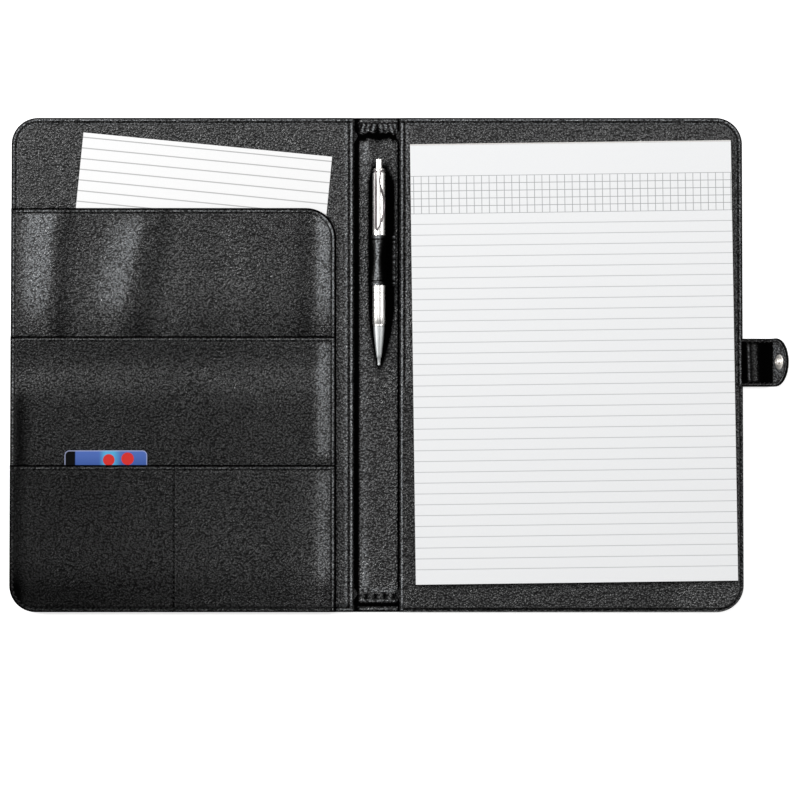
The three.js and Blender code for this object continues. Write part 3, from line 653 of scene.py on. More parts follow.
def spine_shade(x, y):
    """Painted shade in the channels beside the covers, in the hollows of the ends, and as the pen's shadow.

    The tops of the gathers and a band along the left half carry painted highlights.
    """
    along, across = (spine_end - np.abs(y)) / MM, x / MM
    up = y / MM
    lean = 0.25 * np.maximum(along - 3, 0)
    tops = sum(hump(centre + lean * np.sign(centre), 0.8 * width, across) for centre, width, _ in gathers)
    wave = np.sin(0.55 * across + 1) + 0.5 * np.sin(1.3 * across)
    head_tops = np.clip(tops, 0, 1) * ease(3.2, 3.8, along) * ease(10.2 + 0.7 * wave, 8.8 + 0.7 * wave, along)
    head_dark = ease(2.6, 3.2, along) * ease(15.5 + wave, 13.6 + wave, along) * (1 - head_tops)
    ridge = hump(13.6 + 0.5 * wave, 1.0, along) + hump(6.9, 0.8, along) * (0.75 + 0.25 * np.sin(2.3 * across))
    between = 0.6 * ease(6, 7, along) * ease(13, 12, along) * (0.5 + 0.5 * np.sin(1.05 * across - 0.8))
    foot_light = np.clip(ridge + between, 0, 1)
    foot_dark = ease(2.8, 3.4, along) * ease(12.6, 11.2, along) * (1 - foot_light)
    dark = np.where(y > 0, head_dark, foot_dark)
    light = np.where(y > 0, 0.75 * head_tops, 0.6 * foot_light * ease(15, 14, along))
    off = across - pen_place / MM
    wide = np.where(off > 0, 10.3, 7.2) * ease(-9, 42, up) ** 0.5
    wide = 3.9 + (wide - 3.9) * ease(136, 118, up)
    # Painted shadow of the pen, wider on its right side and narrowing towards its tip.
    round_pen = ease(wide + 1.6, wide - 0.8, np.abs(off)) * ease(134, 131, up) * ease(-10, 0, up)
    channel = np.maximum(ease(-10.5, -11.9, across), ease(13.0, 13.9, across))
    edge = np.maximum(ease(1.0, 0.5, along), 0.9 * hump(3.3, 0.5, along))
    dark = np.maximum.reduce([dark, round_pen, channel, edge])
    # Painted highlight: a band along the left half, stronger towards the ends, and a weak one at the right
    # edge.
    band = hump(-7.8, 2.8, across) * (0.3 + 0.35 * ease(60, 14, along)) + 0.16 * ease(8, 11.5, across)
    bead = 0.5 * hump(1.7, 0.5, along)
    return shaded(np.maximum.reduce([light, band * ease(12, 16, along), bead]), np.maximum(dark, 0.12))


def spine_under(x, y):
    return np.minimum(spine_over(x, y) - 0.15 * MM, lining_bottom + 0 * x)


spine_columns = stations((-spine_half / MM, spine_half / MM, 0.35))
spine_ends = stations((0, 0.6, 0.15), (0.6, 14, 0.4))
spine_middle = spine_end / MM - 14
spine_rows = merged(
    -spine_end + spine_ends, stations((-spine_middle, spine_middle, 3)), spine_end - spine_ends
)
spine_lining = leaf(
    "spine_lining_leather", spine_columns, spine_rows, straight, straight, spine_over, spine_under,
    spine_shade,
)
shown(spine_lining, lining_finish, "spine", ("spine_lining",))
for side, end in (("head", 1), ("foot", -1)):
    seam = end * (spine_end - 0.95 * end_hem)
    row = sewn(f"spine_{side}_stitches", np.array([(-13.2 * MM, seam), (13.2 * MM, seam)]), spine_over)
    shown(row, thread_finish, "spine")

# The flap that holds the pad is a panel sewn over the back lining along the fore edge and the foot. The
# pad's card back slips under it.
flap_low, flap_high = corners_of("pad_flap")
flap_hem = 1.8 * MM
flap_seam = lining_top + 0.1 * MM
flap_inside = flap_high[2] - leather_thickness
flap_start = flap_low[0] - cover_start


def flap_under(x, y):
    """Underside: on the hem at fore edge and foot, then a steep side up to the pad's card back."""
    beside = flap_seam + (flap_inside - flap_seam) * ease(2 * flap_start, 4 * flap_start, x - cover_start)
    return flap_hem + (beside - flap_hem) * ease(0.6 * hem_width, 0.6 * hem_width + 1.6 * MM, from_edge(x, y))


def flap_over(x, y):
    free = np.minimum(flap_high[1] - y, x - flap_low[0])
    edge = np.maximum(rounded(from_edge(x, y), 0.5 * MM), rounded(free, 0.35 * MM))
    groove = 0.2 * MM * hump(hem_stitch - 0.9 * MM, 0.4 * MM, from_edge(x, y))
    return flap_under(x, y) + leather_thickness - edge - groove


def flap_shade(x, y):
    """Painted shade along the stitches, and darker below the pad than at the fore edge."""
    stitches = 0.6 * hump(hem_stitch - 0.7 * MM, 0.7 * MM, from_edge(x, y))
    return -stitches - 0.3 * ease(205 * MM, 190 * MM, x)


flap_top, flap_left = flap_high[1] / MM, flap_low[0] / MM
flap_rows = merged(
    -half_length + end_rows, stations((-straight_end, flap_top - 4, 5), (flap_top - 4, flap_top, 0.3))
)
flap_columns = merged(
    stations((flap_left, flap_left + 8, 0.3), (flap_left + 8, last_column, 5)), fore_edge - edge_columns
)
pad_flap = leaf(
    "pad_flap_leather", flap_columns, flap_rows, straight, outer_draw, flap_over, flap_under, flap_shade
)
shown(pad_flap, lining_finish, "back_cover", ("pad_flap",))

# Three pockets are stacked on the front cover, each a leather panel sewn in with the cover's hem and along a
# seam near the spine. Their mouths are turned over and stitched, as a raised bead but for the middle one.
# The leather has soft lengthwise folds, where it stands off the layers below.
pocket_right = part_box("document_pocket")[1].x
bead_width, bead_height = 2.7 * MM, 0.45 * MM
mouth_stitch = 3.2 * MM
panel_step = 1.1  # mm from one panel up to the next


def from_mouth(x, y, top, radius):
    """Distance in from a panel's mouth, its seam near the spine and the round corner between them."""
    side, up = pocket_right - x, top - y
    corner = radius - np.hypot(np.maximum(radius - side, 0), np.maximum(radius - up, 0))
    return np.where((side < radius) & (up < radius), corner, np.minimum(side, up))


def panel(name, order, node, radius, relief, painted_shading, material, raised=bead_height):
    """One pocket panel: its underside, its upper face with bead and grooves, and its mesh.

    On the hem it lies on the panels below, and inside it rises to its own level plus its relief.
    """
    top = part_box(node)[1].y
    on_hem = hem_top + 0.3 * MM + order * panel_step * MM
    inside = lining_top + (0.45 + panel_step * order) * MM

    def under(x, y):
        inward = from_edge(x, y)
        rise = ease(0.5 * hem_width, hem_width + 0.4 * hem_rise, inward)
        return on_hem + (inside - on_hem) * rise + relief(x, y) * ease(hem_width, 14 * MM, inward)

    def over(x, y):
        free, inward = from_mouth(x, y, top, radius), from_edge(x, y)
        half = bead_width / 2
        bead = raised * np.sqrt(np.clip(1 - ((free - half) / half) ** 2, 0, 1))
        groove = (
            0.55 * MM * hump(bead_width + 0.5 * MM, 0.5 * MM, free)
            + 0.4 * MM * hump(hem_stitch, 0.5 * MM, inward)
        )
        fade = ease(0, 1.5 * hem_width, inward)
        edge = np.maximum(rounded(inward, 0.5 * MM), 0.3 * MM * (1 - ease(0, 0.4 * MM, free)))
        return under(x, y) + leather_thickness + bead * (0.3 + 0.7 * fade) - groove - edge

    def shade(x, y):
        """Painted shade at the edges and round the stitches, painted highlights on the beads, and the panel's
        own painted light.
        """
        free, inward = from_mouth(x, y, top, radius), from_edge(x, y)
        seams = 0.75 * np.maximum(hump(mouth_stitch, 0.55 * MM, free), hump(hem_stitch, 0.55 * MM, inward))
        edges = np.maximum(ease(1.5 * MM, 1.2 * MM, free), ease(1.1 * MM, 0.8 * MM, inward))
        on_hem_light = 0.25 if order == 2 else 0.7
        beads = np.maximum(
            0.62 * hump(2.1 * MM, 0.45 * MM, free), on_hem_light * hump(1.7 * MM, 0.45 * MM, inward)
        )
        # The panel's painted sheen streaks and its painted shade.
        light, dark = painted_shading(x, y)
        light = np.maximum(light, 0.35 * hump(4.4 * MM, 0.5 * MM, free))
        dark = np.maximum(seams, dark * (1 - beads))
        return shaded(np.maximum(light, beads), np.maximum(dark, edges))

    def draw(rows):
        return rounded(top - rows, radius) if radius else straight(rows)

    def outer(rows):
        return rounded(half_length + rows, corner_radius)

    mouth = stations((0, 0.4, 0.12), (0.4, 5, 0.3), (5, 24, 1.2))
    rows = merged(-half_length + end_rows, stations((-straight_end, top / MM - 24, 3)), top - mouth)
    columns = stations((-fore_edge / MM + 26, pocket_right / MM - 24, 3))
    if order == 2:
        columns = merged(columns, stations((divider / MM - 3, divider / MM + 3, 0.3)))
    columns = merged(-fore_edge + edge_columns, columns, pocket_right - mouth)
    made = leaf(name, columns, rows, outer, draw, over, under, shade)
    shown(made, material, "front_cover", (node,))
    return over


def ridge(x, y, at_head, at_foot, head, foot, width, height):
    """A soft fold: a bell curve across a line that runs from one x at its head to another at its foot."""
    share = (head - y) / (head - foot)
    return height * hump(at_head + (at_foot - at_head) * share, width, x)


document_top, middle_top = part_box("document_pocket")[1].y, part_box("middle_pocket")[1].y
card_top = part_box("card_pocket")[1].y
document_radius = 20 * MM
document_folds = ((-226, -228, 10, 1.4), (-158, -188, 12, 1.5), (-128, -132, 7, 0.5), (-90, -92, 8, 0.5),
                  (-34, -34, 7, 2.0))
middle_folds = ((-120, -118, 16, 0.4), (-34, -34, 6, 1.6))
card_folds = ((-180, -176, 26, 0.3), (-88, -84, 26, 0.4), (-35, -35, 7, 1.2))
pocket_finish = leather("pocket_leather", 1.2 * MM, 0.001, 0.025, 0.3, 0.68 * MM, 0.86, 0.7)


def relief_of(folds, head, foot, x, y):
    """Height of a panel's folds, which die out at its mouth, its seam and the panel over its foot."""
    ridges = sum(ridge(x, y, a * MM, b * MM, head, foot, w * MM, h * MM) for a, b, w, h in folds)
    return (
        ridges * ease(0, 16 * MM, head - y) * ease(foot - 2 * MM, foot + 14 * MM, y)
        * ease(0, 12 * MM, pocket_right - x)
    )


def document_relief(x, y):
    return relief_of(document_folds, document_top, middle_top, x, y)


def middle_relief(x, y):
    return relief_of(middle_folds, middle_top, card_top, x, y)


def seam_painted_highlight(x, y, top, foot):
    """Painted highlight strip beside the seam near the spine, between a panel's mouth and the next panel."""
    across = ease(-44 * MM, -37.5 * MM, x) * (0.75 + 0.25 * hump(-34 * MM, 4 * MM, x))
    return across * ease(top - 2 * MM, top - 6 * MM, y) * ease(foot, foot + 9 * MM, y)


def document_painted_shading(x, y):
    """Painted reflection bands at the fore edge and along the slanting fold, steep on the right, weak ones
    beyond, over painted shade that deepens in the valleys beside them and towards the foot.
    """
    share = (document_top - y) / (document_top - middle_top)
    first_side = (-208 - 7 * np.sqrt(np.clip(share, 0, 1))) * MM
    second_side = (-149.5 - 19 * share) * MM
    first = 0.9 * ease(-240 * MM, -224 * MM, x) * ease(first_side + 3 * MM, first_side - 4 * MM, x)
    second = (
        0.8 * ease(second_side + 4 * MM, second_side - 5 * MM, x) * hump(second_side - 6 * MM, 20 * MM, x)
    )
    weak = 0.2 * hump((-127 - 5 * share) * MM, 6 * MM, x) + 0.2 * hump(-91 * MM, 8 * MM, x)
    light = (
        first * ease(1.25, 0.75, share) + (second + weak) * ease(1.2, 0.75, share) * ease(-0.05, 0.2, share)
    )
    light = light + seam_painted_highlight(x, y, document_top, middle_top)
    valley = hump(first_side + 8 * MM, 5 * MM, x) + 0.8 * hump(second_side + 12 * MM, 8 * MM, x)
    return light, 0.2 + 0.32 * valley + 0.25 * hump(-48 * MM, 7 * MM, x) + 0.3 * ease(0.6, 1, share)


def middle_painted_shading(x, y):
    """Painted shade below the mouth, then a painted highlight strip, lightest at the left, and patches by the
    card.
    """
    strip = (
        hump(-8 * MM, 9 * MM, y)
        * (0.1 + 0.2 * hump(-215 * MM, 16 * MM, x) + 0.12 * hump(-172 * MM, 12 * MM, x))
    )
    patch = (
        0.12 * hump(-177 * MM, 12 * MM, x) * hump(-52 * MM, 8 * MM, y)
        + 0.12 * hump(-130 * MM, 8 * MM, x) * ease(-20 * MM, -40 * MM, y)
    )
    dark = 0.62 - 0.3 * hump(-10 * MM, 12 * MM, y) - 0.1 * ease(-120 * MM, -60 * MM, x)
    dark = dark + 0.3 * hump(-233 * MM, 5 * MM, x) * ease(-14 * MM, -24 * MM, y)
    seam = seam_painted_highlight(x, y, middle_top, card_top)
    return np.maximum(strip + patch, 0.7 * seam), dark * (1 - 0.6 * seam)


def card_painted_shading(x, y):
    """Painted shade, deeper towards the foot and the fore edge, with painted highlights by the seam and the
    divider.
    """
    seam = seam_painted_highlight(x, y, card_top, -148 * MM)
    light = 0.5 * seam + 0.6 * hump(divider + 0.9 * MM, 0.5 * MM, x)
    to_edge = 0.16 * ease(-128 * MM, -150 * MM, y) + 0.16 * ease(-226 * MM, -236 * MM, x)
    groove = 0.4 * hump(divider, 0.5 * MM, x)
    plain = 0.71 - 0.2 * ease(-210 * MM, -70 * MM, x) - 0.15 * ease(-62 * MM, -44 * MM, x)
    return light, groove + plain * (1 - 0.6 * seam) + to_edge


card_low, card_high = corners_of("plastic_card")
divider = -132.3 * MM
slot_reach = 6 * MM


def card_relief(x, y):
    """Folds, the card's own bulge up to its edges, and the groove of the divider's stitches."""
    across = ease(card_low[0] - slot_reach, card_low[0], x) * ease(divider, card_high[0], x)
    across = np.where(x > card_high[0], ease(divider, card_high[0] + 0.5 * MM, x), across)
    bulge = 0.75 * MM * across * ease(card_low[1] - slot_reach, card_low[1], y)
    folds = relief_of(card_folds, card_top, -half_length, x, y)
    return folds + bulge - 0.4 * MM * hump(divider, 0.7 * MM, x)


over_document = panel(
    "document_pocket_panel", 0, "document_pocket", document_radius, document_relief, document_painted_shading,
    pocket_finish,
)
over_middle = panel(
    "middle_pocket_panel", 1, "middle_pocket", 0, middle_relief, middle_painted_shading, pocket_finish, raised=0
)
over_card = panel("card_pocket_panel", 2, "card_pocket", 0, card_relief, card_painted_shading, pocket_finish)
seam_x = pocket_right - mouth_stitch
left_x = -fore_edge + hem_stitch
mouth_corner = arc_points(
    (pocket_right - document_radius, document_top - document_radius), document_radius - mouth_stitch,
    np.linspace(np.pi / 2, 0, 14),
)
document_line = np.concatenate([
    [(left_x, document_top - mouth_stitch)], mouth_corner, [(seam_x, middle_top)]
])
middle_line = np.array([
    (left_x, middle_top - mouth_stitch), (seam_x, middle_top - mouth_stitch), (seam_x, card_top)
])
foot_corner = arc_points(
    (-fore_edge + corner_radius, -half_length + corner_radius), corner_radius - hem_stitch,
    np.linspace(1.5 * np.pi, np.pi, 12),
)
card_mouth = [(left_x, card_top - mouth_stitch), (seam_x, card_top - mouth_stitch)]
card_line = np.concatenate([
    card_mouth, [(seam_x, -half_length + hem_stitch)], foot_corner, [(left_x, card_top - 2 * mouth_stitch)],
])
divider_line = np.array([(divider, card_top - mouth_stitch), (divider, -half_length + 2 * hem_stitch)])
middle_edge = np.array([(left_x, card_top + mouth_stitch), (left_x, middle_top - 2 * mouth_stitch)])
document_edge = np.array([(left_x, middle_top + mouth_stitch), (left_x, document_top - 2 * mouth_stitch)])
for name, line, over in (
    ("document_pocket_stitches", document_line, over_document),
    ("document_edge_stitches", document_edge, over_document),
    ("middle_pocket_stitches", middle_line, over_middle),
    ("middle_edge_stitches", middle_edge, over_middle),
    ("card_pocket_stitches", card_line, over_card),
    ("card_divider_stitches", divider_line, over_card),
):
    shown(sewn(name, line, over), thread_finish, "front_cover")

# A loose sheet of ruled white paper stands in the document pocket, a little turned. It is smaller than the
# pad's sheets, and only the pocket holds it.
sheet_low, sheet_high = corners_of("loose_sheet")
sheet_turn = math.radians(-5.6)
sheet_width, sheet_length = 164 * MM, 235 * MM
sheet_middle = (sheet_low + sheet_high) / 2


def turned_slab(name, centre, size, turn, bottom, top, spacing=6 * MM):
    """Flat sheet between two levels, with its own width u and length v, turned about its centre."""
    u = np.linspace(-size[0] / 2, size[0] / 2, max(2, round(size[0] / spacing)))
    v = np.linspace(-size[1] / 2, size[1] / 2, max(2, round(size[1] / spacing)))
    u, v = np.meshgrid(u, v)
    x = centre[0] + u * math.cos(turn) - v * math.sin(turn)
    y = centre[1] + u * math.sin(turn) + v * math.cos(turn)
    return closed_sheet(name, *(np.stack([x, y, np.full_like(x, z)], axis=-1) for z in (top, bottom)))


def page_axes(finish, centre, turn):
    """Across and up a turned page: the place less the page's centre, turned back by its angle."""
    settings = {"vector_type": "TEXTURE"}
    inputs = {"Vector": finish.place, "Location": (centre[0], centre[1], 0), "Rotation": (0, 0, turn)}
    return finish.axes(finish.add("ShaderNodeMapping", settings, inputs))


def lines(distance, pitch, width):
    """Mask of lines one pitch apart: the distance folded at each half pitch, then a step at the width."""
    folded = distance.math("PINGPONG", pitch / 2)
    return 1 - folded.between(0.35 * width, 0.65 * width)


sheet_paper = Finish("loose_sheet_paper", Roughness=0.75, Specular_IOR_Level=0.25)
across, up, _ = page_axes(sheet_paper, sheet_middle, sheet_turn)
fibres = sheet_paper.noise(1800.0, 3.0)
rules = lines(sheet_length / 2 - up + 3.9 * MM, 7.04 * MM, 0.75 * MM)
plain = sheet_paper.blend(fibres, grey(0.86), grey(0.93))
loose = turned_slab(
    "loose_ruled_sheet", sheet_middle, (sheet_width, sheet_length), sheet_turn, sheet_low[2], sheet_high[2]
)
shown(loose, sheet_paper.surface(
    Base_Color=sheet_paper.blend(rules * 0.8, plain, grey(0.36)),
    Normal=sheet_paper.bump(fibres, 0.02 * MM),
), "loose_sheet", ("loose_sheet",))

# A plastic card stands in the slot of the lowest pocket: a printed sheet pressed between two clear films,
# with round corners and a soft edge where it was punched out.
card_radius = 3.2 * MM
card_finish = Finish("printed_card", Specular_IOR_Level=0.04)
card_x, card_y, _ = card_finish.axes()
blue = card_finish.blend(
    (card_y - (card_high[1] - 12 * MM)).between(0, 12 * MM), (0.046, 0.097, 0.32, 1), (0.08, 0.145, 0.43, 1)
)
along = card_x - card_low[0]
dark_band = 1 - along.between(6.6 * MM, 7.4 * MM)
glow = along.between(22 * MM, 27 * MM) * (1 - along.between(31 * MM, 38 * MM))
print_colour = card_finish.blend(glow * 0.7, blue, (0.10, 0.48, 0.72, 1))
for disc_x, disc_y, size in ((28.9, 6.2, 3.9), (41.2, 5.4, 4.2)):
    off_x, off_y = along - disc_x * MM, card_y - (card_high[1] - disc_y * MM)
    distance = (off_x * off_x + off_y * off_y).math("SQRT")
    print_colour = card_finish.blend(
        1 - distance.between((size - 0.2) * MM, size * MM), print_colour, (0.60, 0.035, 0.03, 1)
    )
print_colour = card_finish.blend(dark_band, print_colour, grey(0.002, -0.1))
from_side = along.math("MINIMUM", card_high[0] - card_low[0] - along)
from_end = (card_high[1] - card_y).math("MAXIMUM", 0.0)
corner_x, corner_y = ((card_radius - way).math("MAXIMUM", 0.0) for way in (from_side, from_end))
from_round = card_radius - (corner_x * corner_x + corner_y * corner_y).math("SQRT")
from_rim = from_side.math("MINIMUM", from_end).math("MINIMUM", from_round)
print_colour = card_finish.blend(
    (1 - from_rim.between(0.35 * MM, 0.8 * MM)) * 0.75, print_colour, (0.38, 0.42, 0.62, 1)
)
card_path = rounded_path(card_low[:2], card_high[:2], [card_radius] * 4, 10)


def plate(name, path, levels):
    """Flat plate: a closed path at each level, drawn in there by an inset, with flat faces."""
    tangent = np.roll(path, -1, axis=0) - np.roll(path, 1, axis=0)
    inward = np.stack([-tangent[:, 1], tangent[:, 0]], axis=1) / np.linalg.norm(tangent, axis=1)[:, None]
    rings = [np.column_stack([path + inward * inset, np.full(len(path), z)]) for inset, z in levels]
    return skinned(name, np.stack(rings))


card_bottom, card_face = card_low[2], card_high[2]
soft = 0.12 * MM
card = plate(
    "printed_plastic_card", card_path,
    ((soft, card_bottom), (0, card_bottom + soft), (0, card_face - soft), (soft, card_face)),
)
shown(
    card, card_finish.surface(Base_Color=print_colour, Roughness=card_finish.noise(60.0) * 0.1 + 0.35),
    "card", ("plastic_card",),
)

# The writing pad is a grey card back, a block of sheets and a top sheet that turns over, glued along the
# head. It lies a little turned, with its card back under the flap. The top sheet has squares at its head,
# then lines.
pad_low, pad_high = corners_of("pad_sheets")
pad_turn = math.radians(0.75)
pad_centre = np.array([128.7, 1.2]) * MM
pad_width, pad_length = 210 * MM, 288 * MM
page_head = pad_length / 2 - 0.9 * MM


def pad_slab(name, z_low, z_high, head, foot=-pad_length / 2, spacing=6 * MM):
    """One flat piece of the pad between two distances from its centre along its own length."""
    middle = (head + foot) / 2
    centre = pad_centre + (-middle * math.sin(pad_turn), middle * math.cos(pad_turn))
    return turned_slab(name, centre, (pad_width, head - foot), pad_turn, z_low, z_high, spacing)


page = Finish("ruled_page", Roughness=0.7, Specular_IOR_Level=0.3)
across, up, _ = page_axes(page, pad_centre, pad_turn)
down = page_head - up
fibres = page.noise(1500.0, 3.0)
head_blank, grid_rows, square, rule_pitch = 20.2 * MM, 5, 4.94 * MM, 7.05 * MM
grid_depth = grid_rows * square
side = across + pad_width / 2
in_grid = (
    down.between(head_blank - 0.3 * MM, head_blank)
    * (1 - down.between(head_blank + grid_depth, head_blank + grid_depth + 0.3 * MM))
)
squares = lines(down - head_blank, square, 0.42 * MM).math("MAXIMUM", lines(side - 2 * MM, square, 0.42 * MM))
first_rule = head_blank + grid_depth + 6.9 * MM
last_rule = first_rule + 32 * rule_pitch
in_rules = (
    down.between(first_rule - 1 * MM, first_rule - 0.5 * MM)
    * (1 - down.between(last_rule + 1 * MM, last_rule + 2 * MM))
)
ruled = in_rules * lines(down - first_rule, rule_pitch, 0.5 * MM)
ink = (in_grid * squares).math("MAXIMUM", ruled * 0.65)
paper_white = page.blend(fibres, grey(0.84, -0.008), grey(0.89, -0.008))
page_finish = page.surface(
    Base_Color=page.blend(ink, paper_white, grey(0.36, -0.02)),
    Normal=page.bump(fibres, 0.015 * MM),
)
edges = Finish("page_edges", Roughness=0.8, Specular_IOR_Level=0.2)
_, _, level = edges.axes()
leaves = lines(level, 0.12 * MM, 0.07 * MM)
edge_finish = edges.surface(
    Base_Color=edges.blend(leaves, grey(0.80), grey(0.5)),
    Normal=edges.bump(leaves, 0.03 * MM),
)
top_low, top_high = corners_of("pad_top_sheet")
backing_low, backing_high = corners_of("pad_backing")
block = pad_slab("pad_block", pad_low[2], pad_high[2], page_head)
shown(block, edge_finish, "pad", ("pad_sheets",))
top_page = pad_slab("pad_top_page", top_low[2], top_high[2], page_head)
shown(top_page, page_finish, "top_sheet", ("pad_top_sheet",))
backing = Finish("grey_card", Roughness=0.9, Specular_IOR_Level=0.2)
specks = backing.noise(1300.0, 4.0)
card_back = pad_slab("pad_card_back", backing_low[2], backing_high[2], page_head)
shown(card_back, backing.surface(
    Base_Color=backing.blend(specks.between(0.35, 0.65), grey(0.24, 0.06), grey(0.34, 0.07)),
    Normal=backing.bump(specks, 0.03 * MM),
), "pad", ("pad_backing",))
glue = Finish("head_glue", Specular_IOR_Level=0.4)
beads = glue.noise(500.0, 2.0)
binding = pad_slab(
    "pad_head_binding", backing_low[2], pad_high[2], pad_length / 2, page_head + 0.1 * MM, spacing=0.8 * MM
)
shown(binding, glue.surface(
    Base_Color=glue.blend(beads, grey(0.62, 0.03), grey(0.74, 0.03)),
    Roughness=beads * 0.3 + 0.35,
    Normal=glue.bump(beads, 0.1 * MM),
), "pad", ("pad_binding",))

# The pen's loop is one strip of leather turned round the barrel. Both its ends are sewn down together
# beside the pen, and its upper and lower edges are turned over as small beads.
loop_low, loop_high = corners_of("pen_loop")
barrel_low, barrel_high = corners_of("pen_upper_barrel")
pen_x, pen_z = (barrel_low[0] + barrel_high[0]) / 2, (barrel_low[2] + barrel_high[2]) / 2
barrel_radius = (barrel_high[0] - barrel_low[0]) / 2
loop_leather = 0.9 * MM
loop_radius = loop_high[2] - loop_leather / 2 - pen_z
tail_level = loop_low[2] + 1.5 * loop_leather
tail_fillet = 2 * MM


def loop_path():
    """Middle line of the strip in x and z: under the tail, round the barrel, and by a fillet out on top."""
    foot = pen_z - loop_radius
    fillet_z = tail_level + tail_fillet
    fillet_x = pen_x + math.sqrt((loop_radius + tail_fillet) ** 2 - (pen_z - fillet_z) ** 2)
    meet = math.atan2(pen_z - fillet_z, fillet_x - pen_x)
    round_barrel = np.linspace(-np.pi / 2, -2 * np.pi - meet, 60)
    fillet = np.linspace(np.pi - meet, 1.5 * np.pi, 12)
    return np.concatenate([
        np.column_stack([np.linspace(loop_high[0], pen_x, 12)[:-1], np.full(11, foot)]),
        arc_points((pen_x, pen_z), loop_radius, round_barrel),
        arc_points((fillet_x, fillet_z), tail_fillet, fillet)[1:],
        np.column_stack([np.linspace(fillet_x, loop_high[0], 8)[1:], np.full(7, tail_level)]),
    ])


def strip(name, path, across, thickness, shade):
    """Strip along a path in x and z, with half its thickness to either side at each place across it."""
    step = np.gradient(path, axis=0)
    normal = np.column_stack([-step[:, 1], step[:, 0]]) / np.linalg.norm(step, axis=1)[:, None]
    half = thickness[:, None] / 2
    width = np.broadcast_to(across[:, None], (len(across), len(path)))
    faces = []
    for side in (1, -1):
        x = path[:, 0] + side * half * normal[:, 0]
        z = path[:, 1] + side * half * normal[:, 1]
        faces.append(np.stack([x, width, z], axis=-1))
    return closed_sheet(name, *faces, shade=shade(*np.moveaxis(faces[0], -1, 0)))


def loop_shade(x, y, z):
    """Painted shade at both sides, with a painted highlight streak over the barrel that widens to its ends.

    The ends of the strip, sewn down beside the pen, carry a painted highlight along their edge.
    """
    to_middle = (2 * y - loop_low[1] - loop_high[1]) / (loop_high[1] - loop_low[1])
    streak = (
        0.75 * hump(pen_x - 1.2 * MM + 0.4 * MM * to_middle, (1.3 + 1.5 * to_middle**2) * MM, x)
        * (z > pen_z)
    )
    at_end = hump(0.83, 0.025, np.abs(to_middle))
    tail = (
        hump(loop_high[0] - 0.9 * MM, 0.7 * MM, x) * (x > pen_x + 5.5 * MM)
        * (0.6 + 0.4 * np.sin(1.9 / MM * y))
    )
    light = np.maximum(streak, 0.8 * tail)
    return shaded(light, 1 - np.clip(2.2 * light, 0, 1) + at_end)


loop_foot, loop_head = loop_low[1] / MM, loop_high[1] / MM
loop_across = stations(
    (loop_foot, loop_foot + 3.5, 0.25), (loop_foot + 3.5, loop_head - 3.5, 2),
    (loop_head - 3.5, loop_head, 0.25),
)
to_edge = np.minimum(loop_across - loop_low[1], loop_high[1] - loop_across)
loop_thick = (
    loop_leather * (1 - 0.35 * hump(2.6 * MM, 0.5 * MM, to_edge) - 0.6 * (1 - ease(0, 0.5 * MM, to_edge)))
)
loop_finish = leather("smooth_leather", 1.3 * MM, 0.001, 0.01, 0.4, 0.3 * MM, 0.45)
loop = strip("pen_loop_leather", loop_path(), loop_across, loop_thick, loop_shade)
shown(loop, loop_finish, "spine", ("pen_loop",))
tail_x = loop_high[0] - 1.4 * MM
tail_row = sewn(
    "pen_loop_stitches",
    np.array([(tail_x, loop_low[1] + 2.5 * MM), (tail_x, loop_high[1] - 2.5 * MM)]),
    lambda x, y: tail_level + loop_leather / 2 + 0 * x,
)
shown(tail_row, thread_finish, "spine")

# The pen is a click pen of bright plated metal, turned parts screwed together: two barrels with a ring at
# their joint, a satin cone, and a push button. A wire clip is sprung into a groove near its top.
Y = (0, 1, 0)
pen_axis = (pen_x, 0, pen_z)


def metal(name, tone, roughness, grain=0.0):
    """Plated metal: a tone that varies slightly, with faint turning marks where grain asks for them."""
    finish = Finish(name, Metallic=1.0)
    cloud = finish.noise(90.0, 3.0)
    _, along, _ = finish.axes()
    marks = finish.noise(
        1.0, 2.0, vector=finish.add("ShaderNodeCombineXYZ", None, {"X": along * 9000.0, "Y": 0.0, "Z": 0.0})
    )
    return finish.surface(
        Base_Color=finish.blend(cloud, tuple(t * 0.92 for t in tone[:3]) + (1,), tone),
        Roughness=cloud * 0.08 + marks * grain + roughness,
        Normal=finish.bump(marks, 0.004 * MM + grain * 0.02 * MM),
    )


bright = metal("plated_barrel", (0.86, 0.84, 0.81, 1), 0.24)
satin = metal("satin_cone", (0.62, 0.64, 0.64, 1), 0.34, 0.12)
wire_metal = metal("spring_wire", (0.13, 0.115, 0.12, 1), 0.36)


def pen_piece(name, node, profile, material, body, closed=True):
    made = turned(name, np.array(profile) * MM, pen_axis, Y, 72, closed)
    return shown(made, material, body, (node,))


def arc_profile(centre, radius, start, end, steps=8):
    """Points (radius, height) on an arc of a profile between two angles in degrees."""
    angle = np.radians(np.linspace(start, end, steps))
    return [(centre[0] + radius * math.cos(a), centre[1] + radius * math.sin(a)) for a in angle]


